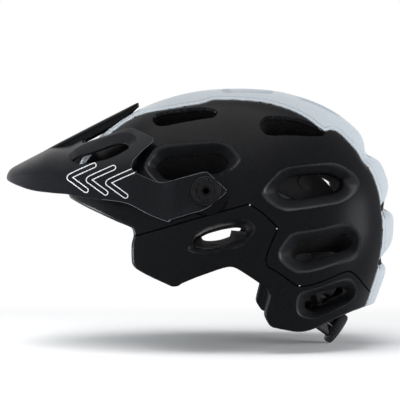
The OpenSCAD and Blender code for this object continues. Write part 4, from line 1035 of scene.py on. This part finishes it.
def scatter(name, places, along, up, size, material, faces=8):  # a small bead repeated at given places
    base = bpy.data.meshes.new(name + "Points")
    base.from_pydata((np.asarray(places, float) * mm).tolist(), [], [])
    for key, value in (("along", along), ("up", up)):
        spot = base.attributes.new(key, "FLOAT_VECTOR", "POINT")
        spot.data.foreach_set("vector", np.broadcast_to(np.asarray(value, float), (len(places), 3)).ravel())
    holder = bpy.data.objects.new(name + "Points", base)
    bpy.context.scene.collection.objects.link(holder)
    tree = bpy.data.node_groups.new(name + "Nodes", "GeometryNodeTree")

    def socket(key, kind, way="INPUT"):
        return tree.interface.new_socket(key, in_out=way, socket_type="NodeSocket" + kind).identifier

    socket("Points", "Geometry")
    lengths = {key: socket(key, "Float") for key in ("Length", "Width", "Height")}
    look = socket("Finish", "Material")
    socket("Result", "Geometry", "OUTPUT")
    given = addNode(tree, "NodeGroupInput", {}).outputs
    bead = addNode(tree, "GeometryNodeMeshUVSphere", {
        "Segments": faces, "Rings": max(4, faces // 2), "Radius": 0.5})
    ways = [addNode(tree, "GeometryNodeInputNamedAttribute", {"Name": key}, data_type="FLOAT_VECTOR")
            for key in ("along", "up")]
    turn = addNode(tree, "FunctionNodeAxesToRotation", {0: ways[0].outputs["Attribute"],
                                                        1: ways[1].outputs["Attribute"]},
                   primary_axis="X", secondary_axis="Z")
    scale = addNode(tree, "ShaderNodeCombineXYZ", {k: given[key] for k, key in enumerate(lengths)})
    copies = addNode(tree, "GeometryNodeInstanceOnPoints", {
        "Points": given["Points"], "Instance": bead.outputs["Mesh"], "Rotation": turn.outputs[0],
        "Scale": scale.outputs[0]})
    real = addNode(tree, "GeometryNodeRealizeInstances", {0: copies.outputs[0]})
    finished = addNode(tree, "GeometryNodeSetMaterial", {
        "Geometry": real.outputs[0], "Material": given["Finish"]})
    addNode(tree, "NodeGroupOutput", {0: finished.outputs[0]})
    modifier = holder.modifiers.new("copies", "NODES")
    modifier.node_group = tree
    for key, value in zip(lengths.values(), size):
        modifier[key] = value * mm
    modifier[look] = material
    mesh = evaluated(holder)
    bpy.data.objects.remove(holder)
    mesh.name = name
    mesh.polygons.foreach_set("use_smooth", np.ones(len(mesh.polygons), bool))
    mesh.set_sharp_from_angle(angle=math.radians(50))
    piece = bpy.data.objects.new(name, mesh)
    bpy.context.scene.collection.objects.link(piece)
    return piece


dialStyle = {"floor": 12, "ridgeAt": 13.05, "ridges": 38, "ridge": (6.0, 1.5, 1.9),
             "profile": [
    (1.2, 0.02), (11.6, 0.02), (12.7, 0.4), (13.1, 1), (13.1, 6.3), (12.8, 6.8), (12.2, 7.1), (11.6, 7.0),
    (11.2, 6.6), (10.6, 6.5), (6.4, 6.5), (5.4, 6.9), (4.6, 7.35), (3.4, 7.38), (2.8, 7.2), (2.6, 6.9),
    (2.6, 5.9), (1.2, 5.9)]}


def makeDial():
    d = dialStyle
    core = loft("fitDial", latheRings([(r, h + d["floor"]) for r, h in d["profile"]], atDial, 96))
    dress(core, 32, dialRubber)
    a = turns(d["ridges"])
    ring = np.stack([d["ridgeAt"] * np.cos(a), d["ridgeAt"] * np.sin(a), np.full(len(a), d["floor"] + 3.65)], 1)
    spots = atDial(ring)
    axis = atDial([0, 0, 1]) - atDial([0, 0, 0])
    outward = unit(spots - atDial(ring * (0, 0, 1)))
    ridges = scatter("fitDialRidges", spots, axis, outward, d["ridge"], dialRubber, faces=10)
    for piece in (core, ridges):
        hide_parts("dial_knob")
        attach(piece, "dial")


padStyle = {"seat": 1.6, "edge": 1.2, "back": 0.35, "fill": 0.66, "thin": 2.1, "cap": 1.6, "voxel": 1.5,
            "pressure": 4, "frames": 20, "quality": 6, "mass": 0.2, "spread": 0.2, "rounds": 4, "channel": 0.3,
            "channelWide": 1.5, "rows": 61, "cols": 121, "stitch": (2.1, 0.55, 0.35), "stitchStep": 2.9,
            "napeAngle": -7, "napeGap": 7.8, "napeSides": 19, "napeRise": (-1, 8.5), "chinAngle": 92,
            "chinSpan": (0.27, 0.81), "chinGap": 1.9, "chinHalf": 10.6}


def pillow(u, v):
    return (1 - np.abs(2 * u - 1) ** 6) * (1 - np.abs(2 * v - 1) ** 6)


def wallPad(th0, th1, ta0, ta1):  # where a pad's back lies, which way it faces and how thick it may be
    def surface(u, v):
        th, ta = mix(th0, th1, u), mix(ta0, ta1, v)
        return cavityPoint(th, ta, padStyle["seat"]), -cavityOut(th, ta)

    return surface, lambda u, v: mix(1.4, 7, pillow(u, v))


def napePad():
    s = padStyle
    first, last = s["napeRise"]

    def surface(u, v):
        ta = mix(-s["napeSides"], s["napeSides"], v)
        th = np.full_like(ta, s["napeAngle"])
        out = cavityOut(th, ta)
        rise = unit(np.cross(out, np.array([0, -1.0, 0])))
        return cavityPoint(th, ta, s["napeGap"]) + rise * mix(first, last, u)[..., None], -out

    def top(u, v):
        x = mix(first, last, u)
        inner = mix(1.2, 4.4, 1 - np.abs(2 * v - 1) ** 6) + 0.3 * (1 - np.abs(np.clip(x, 0.5, 7) - 3.8) / 3.3)
        rearward = np.where(x > 7, mix(inner, 0.9, (x - 7) / 1.5), inner)
        return np.where(x < 0.5, mix(0.9, inner, (x + 1) / 1.5), rearward)

    return surface, top


def chinStation(u, more):
    return np.full_like(u, padStyle["chinAngle"]), mix(-56, -18, u), mix(1.9, 14, smooth(1.4 * u - 0.1)) + more


def chinPad():
    s = padStyle

    def surface(u, v):
        along = mix(*s["chinSpan"], v)
        th, ta, gap = chinStation(along, s["chinGap"])
        point, out = cavityPoint(th, ta, gap), cavityOut(th, ta)
        across = unit(np.cross(cavityPoint(*chinStation(along + 0.01, s["chinGap"])) - point, out))
        back = point + across * mix(-s["chinHalf"], s["chinHalf"], u)[..., None]
        return back * (1, -1, 1), -out * (1, -1, 1)

    return surface, lambda u, v: mix(1.3, 2.9, pillow(u, v))


padList = [("browPad", "brow_pad", "helmet", wallPad(128, 141, -46, 46), (0.33, 0.67), 0.5),
           ("crownPad", "crown_pad", "helmet", wallPad(74, 112, -21, 21), (0.33, 0.67), 0.5),
           ("sidePadFrontLeft", "side_pad_front_left", "helmet", wallPad(106, 126, -52, -30), (0.33, 0.67), 0.5),
           ("sidePadFrontRight", "side_pad_front_right", "helmet", wallPad(106, 126, 30, 52), (0.33, 0.67), 0.5),
           ("sidePadRearLeft", "side_pad_rear_left", "helmet", wallPad(48, 73, -52, -30), (0.33, 0.67), 0.5),
           ("sidePadRearRight", "side_pad_rear_right", "helmet", wallPad(48, 73, 30, 52), (0.33, 0.67), 0.5),
           ("napePad", "cradle_pad", "cradle", napePad(), (), 0.6),
           ("chinPad", "chin_pad", "helmet", chinPad(), (), 0.4)]


def padGrid(surface):  # the back of a pad as points with their place, ways and lengths
    rows, cols = padStyle["rows"], padStyle["cols"]
    u, v = np.meshgrid(np.linspace(0, 1, rows), np.linspace(0, 1, cols), indexing="ij")
    point, way = surface(u, v)
    wayU, wayV = np.gradient(point, 1 / (rows - 1), axis=0), np.gradient(point, 1 / (cols - 1), axis=1)
    return {"u": u.ravel(), "v": v.ravel(), "point": point.reshape(-1, 3), "way": way.reshape(-1, 3),
            "wayU": wayU.reshape(-1, 3), "wayV": wayV.reshape(-1, 3)}


def dots(a, b):
    return np.einsum("ij,ij->i", a, b)


def padPlace(grid, tree, points):  # place across and along a pad, height over its back, and the local ways
    near = np.array([tree.find(p)[1] for p in points])
    ways = [grid[k][near] for k in ("wayU", "wayV", "way")]
    gap = points - grid["point"][near]
    du, dv = (dots(gap, way) / dots(way, way) for way in ways[:2])
    return grid["u"][near] + du, grid["v"][near] + dv, dots(gap, ways[2]), ways


def padSlab(name, surface, top, grid):  # a slab a little smaller than the pad, in an even mesh
    s = padStyle
    lengthU, lengthV = (np.linalg.norm(grid[k], axis=1).mean() for k in ("wayU", "wayV"))
    edgeU, edgeV = s["edge"] / lengthU, s["edge"] / lengthV
    u = np.linspace(edgeU, 1 - edgeU, 14)
    rings = []
    for v in np.linspace(edgeV, 1 - edgeV, max(12, int(lengthV / 3))):
        point, way = surface(u, np.full_like(u, v))
        high = top(u, np.full_like(u, v))
        high = np.minimum(np.maximum(s["fill"] * high, s["thin"]), high)
        rings.append(np.vstack([point + way * s["back"], (point + way * high[:, None])[::-1]]))
    slab = loft(name, rings)
    even = slab.modifiers.new("even", "REMESH")
    even.mode, even.voxel_size = "VOXEL", s["voxel"] * mm
    return baked(slab)


def swell(pads):  # every slab blown up as cloth
    s = padStyle
    for pad in pads:
        cloth = pad.modifiers.new("swell", "CLOTH")
        cloth.settings.use_pressure, cloth.settings.uniform_pressure_force = True, s["pressure"]
        cloth.settings.effector_weights.gravity = 0
        cloth.settings.quality, cloth.settings.mass = s["quality"], s["mass"]
        cloth.point_cache.frame_start, cloth.point_cache.frame_end = 1, s["frames"]
    for frameNumber in range(1, s["frames"] + 1):
        bpy.context.scene.frame_set(frameNumber)


def evenedShift(shift, up, edges):  # mostly outwards, and averaged over the neighbours
    s = padStyle
    outward = up * dots(shift, up)[:, None]
    shift = outward + (shift - outward) * s["spread"]
    pairs = np.array([e.vertices[:] for e in edges])
    for turn in range(s["rounds"]):
        total, near = shift.copy(), np.ones((len(shift), 1))
        for one, other in (pairs.T, pairs.T[::-1]):
            np.add.at(total, one, shift[other])
            np.add.at(near, one, 1)
        shift = total / near
    return shift * np.minimum(1, s["cap"] / np.maximum(np.linalg.norm(shift, axis=1, keepdims=True), 1e-6))


def heldPoints(points, grid, tree, top, channels):  # inside the pad's solid, with its seams pressed in
    s = padStyle
    u, v, high, ways = padPlace(grid, tree, points)
    held = np.clip(high, 0.04, top(np.clip(u, 0, 1), np.clip(v, 0, 1)) - 0.05)
    for channel in channels:
        aside = (v - channel) * np.linalg.norm(ways[1], axis=1) / s["channelWide"]
        held *= 1 - s["channel"] * np.exp(-aside ** 2) * smooth(np.minimum(u, 1 - u) / 0.12)
    return points + (ways[2] * (held - high)[:, None] + ways[0] * (np.clip(u, 0.01, 0.99) - u)[:, None]
                     + ways[1] * (np.clip(v, 0.005, 0.995) - v)[:, None])


def seamStitches(mesh, grid, channels):  # places, directions and heights of the stitches in the seams
    s = padStyle
    skin = bvhtree.BVHTree.FromPolygons(meshPoints(mesh).tolist(), [p.vertices[:] for p in mesh.polygons])
    for channel in channels:
        column = np.arange(s["rows"]) * s["cols"] + round(channel * (s["cols"] - 1))
        line, ways, along = grid["point"][column], grid["way"][column], grid["wayU"][column]
        run = runAlong(line)
        for d in np.arange(3.2, run[-1] - 3, s["stitchStep"]):
            k = int(np.searchsorted(run, d))
            hit = skin.ray_cast(Vector((line[k] + ways[k] * 15).tolist()), Vector((-ways[k]).tolist()))
            if hit[0] is not None:
                yield np.array(hit[0]), along[k], ways[k]


def makePads():
    jobs, stitches = [], []
    for name, node, body, (surface, top), channels, fill in padList:
        grid = padGrid(surface)
        pad = padSlab(name, surface, top, grid)
        tree = kdtree.KDTree(len(grid["point"]))
        for k, p in enumerate(grid["point"]):
            tree.insert(p, k)
        tree.balance()
        jobs.append((pad, node, body, grid, tree, top, channels, fill, meshPoints(pad.data)))
    swell([job[0] for job in jobs])
    graph = bpy.context.evaluated_depsgraph_get()
    for pad, node, body, grid, tree, top, channels, fill, start in jobs:
        high, ways = padPlace(grid, tree, start)[2:]
        shift = meshPoints(bpy.data.meshes.new_from_object(pad.evaluated_get(graph))) - start
        pad.modifiers.clear()
        moved = start + evenedShift(shift, ways[2], pad.data.edges)
        moved = heldPoints(moved, grid, tree, top, channels)
        pad.data.vertices.foreach_set("co", (moved * mm).ravel())
        finer = pad.modifiers.new("finer", "SUBSURF")
        finer.levels = finer.render_levels = 1
        mesh = baked(pad).data
        mesh.polygons.foreach_set("use_smooth", np.ones(len(mesh.polygons), bool))
        mesh.materials.clear()
        mesh.materials.append(padKnit)
        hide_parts(node)
        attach(pad, body)
        stitches += seamStitches(mesh, grid, channels)
    spots, along, up = (np.array(x) for x in zip(*stitches))
    thread = scatter("padStitches", spots, unit(along), unit(up), padStyle["stitch"], threadKnit)
    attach(thread, "helmet")
    bpy.context.scene.frame_set(1)


strapStyle = {"wide": 15, "thick": 1.6, "gap": 1.9, "narrow": 0.25, "ripple": 0.2, "rippleLong": 5.3,
              "tackAt": (3.5, 5.5), "tack": (1.9, 0.5, 0.4),
              "section": [(-0.5, 0.32), (-0.485, 0.1), (-0.45, 0.03), (-0.4, 0.1), (-0.15, 0.13), (0.15, 0.13),
                          (0.4, 0.1), (0.45, 0.03), (0.485, 0.1), (0.5, 0.32), (0.5, 0.68), (0.485, 0.9),
                          (0.45, 0.97), (0.4, 0.9), (0.15, 0.87), (-0.15, 0.87), (-0.4, 0.9), (-0.45, 0.97),
                          (-0.485, 0.9), (-0.5, 0.68)]}
strapKeys = {"front": [(155.5, -63.5), (148, -67), (138, -68), (120, -64), (98, -60)],
             "rear": [(-3, -47), (3, -52), (12, -58), (40, -61), (66, -60.5), (86, -60)]}


def ribbon(name, stations, side):  # flat webbing with thicker, rounded edges, and its tacks
    s = strapStyle
    th, ta, gap = stations
    point, out = cavityPoint(th, ta, gap), cavityOut(th, ta)
    run = runAlong(point)
    across = unit(np.cross(np.gradient(point, run, axis=0), out))
    rings, places = [], []
    for p, w, o, d in zip(point, across, out, run):
        wide = s["wide"] - s["narrow"] - s["ripple"] * math.sin(d / s["rippleLong"]) ** 2
        rings.append(np.array([p + w * a * wide - o * (b * s["thick"]) for a, b in s["section"]]) * (1, side, 1))
        places.append([(d * mm, a * wide * mm) for a, b in s["section"]])
    piece = loft(name, rings)
    layer = piece.data.uv_layers.new(name="weave")
    index = np.empty(len(piece.data.loops), np.int32)
    piece.data.loops.foreach_get("vertex_index", index)
    layer.data.foreach_set("uv", np.array(places).reshape(-1, 2)[index].ravel())
    dress(piece, 60, blackWebbing)
    tacks = []
    for d in (*s["tackAt"], *(run[-1] - d for d in s["tackAt"][::-1])):
        k = int(np.clip(np.searchsorted(run, d), 1, len(run) - 1))
        for a in np.linspace(-0.36, 0.36, 6):
            spot = point[k] + across[k] * a * s["wide"] - out[k] * s["thick"] * 0.93
            tacks.append((spot * (1, side, 1), across[k] * (1, side, 1), -out[k] * (1, side, 1)))
    return piece, tacks


def makeStraps():
    paths = {}
    for key, keys in strapKeys.items():
        th, ta = splineAt(np.array(keys, float), np.linspace(0, len(keys) - 1, 46)).T
        paths[key] = th, ta, np.full(len(th), strapStyle["gap"])
    paths["chin"] = chinStation(np.linspace(0, 1, 36), 0)
    tacks = []
    for key, path in paths.items():
        for side, word in ((1, "Left"), (-1, "Right")):
            strap, more = ribbon(("chinStrap" if key == "chin" else key + "Strap") + word, path, side)
            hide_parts(key + "_strap_" + word.lower())
            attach(strap, "helmet")
            tacks += more
    spots, along, up = (np.array(x) for x in zip(*tacks))
    thread = scatter("strapTacks", spots, unit(along), unit(up), strapStyle["tack"], threadKnit)
    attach(thread, "helmet")


# painted highlight: pale beads where the seam's corners catch the light
seamPips = {"places": ((17.2007, 25.8199), (38.13, 7.1637), (55.8723, -37.3297)), "sunk": 0.2,
            "size": (1.3, 1.3, 0.9)}


def makePaintedSeamGlints():  # pale beads at the seam corners, painted highlights standing for the glints there
    spots, ups = [], []
    for x, z in seamPips["places"]:
        y = float(domeSide(np.array([x]), np.array([z]))[0])
        for side in (-1, 1):
            spots.append((x, side * (y - seamPips["sunk"]), z))
            ups.append((0.1, side, 0.1))
    glintBeads = scatter("seamPips", spots, (1, 0, 0), unit(np.array(ups, float)), seamPips["size"], paleShell)
    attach(glintBeads, "helmet")


studio = {"distance": 1.3, "aim": (-0.0221, 0.0, 0.02975), "span": 0.34, "sensor": 36, "floorHalf": 6.0,
          "sky": 0.34, "skyTone": (0.92, 0.95, 1, 1), "floorNear": 0.16, "floorFar": 0.45,
          "lamps": (("keyLight", (-0.25, -0.35, 1.5), 1.5, 18, (1, 0.99, 0.97)),
                    ("fillLight", (-0.9, -1.6, 0.6), 1.2, 1.7, (0.94, 0.97, 1)),
                    ("noseLight", (-0.47, -0.01, -0.075), 0.2, 5, (0.95, 0.98, 1)),
                    ("rearLight", (0.75, -0.3, 0.12), 0.3, 3, (0.97, 0.98, 1)))}


def floorFinish():  # pale ground that turns pure white away from the helmet and its shadow
    material, tree, shader, place = finish("floorFinish", (1.0, 1.0, 1.0), 0.9, specular=0.0)
    parts = addNode(tree, "ShaderNodeSeparateXYZ", {0: place})
    away = addMath(tree, "MAXIMUM", *(addMath(tree, "ABSOLUTE", parts.outputs[key]) for key in ("Y", "X")))
    plain = addNode(tree, "ShaderNodeEmission", {"Strength": 1.0})
    blend = addNode(tree, "ShaderNodeMixShader", {
        0: addRange(tree, away, 0, 1, studio["floorNear"], studio["floorFar"]), 1: shader.outputs[0],
        2: plain.outputs[0]})
    setInputs(tree, tree.nodes["Material Output"], {"Surface": blend.outputs[0]})
    return material


def makeWorld(scene):  # white behind the helmet and in reflections, dim as a source of light
    scene.world = bpy.data.worlds.new("studioWorld")
    scene.world.use_nodes = True
    tree = scene.world.node_tree
    tree.nodes.clear()
    path = addNode(tree, "ShaderNodeLightPath", {})
    seen = path.outputs["Is Camera Ray"]
    for name in ("Is Glossy Ray", "Is Transmission Ray"):
        seen = addMath(tree, "MAXIMUM", seen, path.outputs[name])
    dim = addNode(tree, "ShaderNodeBackground", {"Color": studio["skyTone"], "Strength": studio["sky"]})
    white = addNode(tree, "ShaderNodeBackground", {"Color": (1, 1, 1, 1), "Strength": 1})
    blend = addNode(tree, "ShaderNodeMixShader", {0: seen, 1: dim.outputs[0], 2: white.outputs[0]})
    addNode(tree, "ShaderNodeOutputWorld", {0: blend.outputs[0]})


def makeStudio():
    scene = bpy.context.scene
    scene.view_settings.view_transform = "Standard"
    lens = bpy.data.cameras.new("camera")
    lens.sensor_width = studio["sensor"]
    lens.lens = studio["sensor"] * studio["distance"] / studio["span"]
    camera = bpy.data.objects.new("camera", lens)
    camera.location = (studio["aim"][0], -studio["distance"], studio["aim"][2])
    camera.rotation_euler = (math.pi / 2, 0, 0)
    scene.collection.objects.link(camera)
    scene.camera = camera
    low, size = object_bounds()[0][2], studio["floorHalf"]
    corners = [(x * size, y * size, low) for x, y in ((-1, -1), (1, -1), (1, 1), (-1, 1))]
    floor = addPiece("studioFloor", np.array(corners) / mm, [[0, 1, 2, 3]])
    floor.data.materials.append(floorFinish())
    floor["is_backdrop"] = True
    makeWorld(scene)
    for name, at, size, power, tone in studio["lamps"]:
        lamp = bpy.data.lights.new(name, "AREA")
        lamp.shape, lamp.size, lamp.energy, lamp.color = "SQUARE", size, power, tone
        lampObject = bpy.data.objects.new(name, lamp)
        lampObject.location = at
        lampObject.visible_camera = False
        aim = np.array(studio["aim"]) - np.array(at)
        lean, heading = math.acos(-aim[2] / np.linalg.norm(aim)), math.atan2(aim[1], aim[0])
        lampObject.rotation_euler = (lean, 0, heading - math.pi / 2)
        scene.collection.objects.link(lampObject)


for stage, make in (("shells", makeShells), ("visor", makeVisor), ("liner", makeLiner), ("knobs", makeKnobs),
                    ("moulded parts", makeSoftEdges), ("pivot seats", makeSeats), ("fit belts", makeBelts),
                    ("dial", makeDial), ("pads", makePads), ("straps", makeStraps), ("painted seam glints", makePaintedSeamGlints),
                    ("studio", makeStudio)):
    make()
    print(stage, "made")
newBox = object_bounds()
[[list(map(float, c)) for c in box] for box in (cadBox, newBox)]
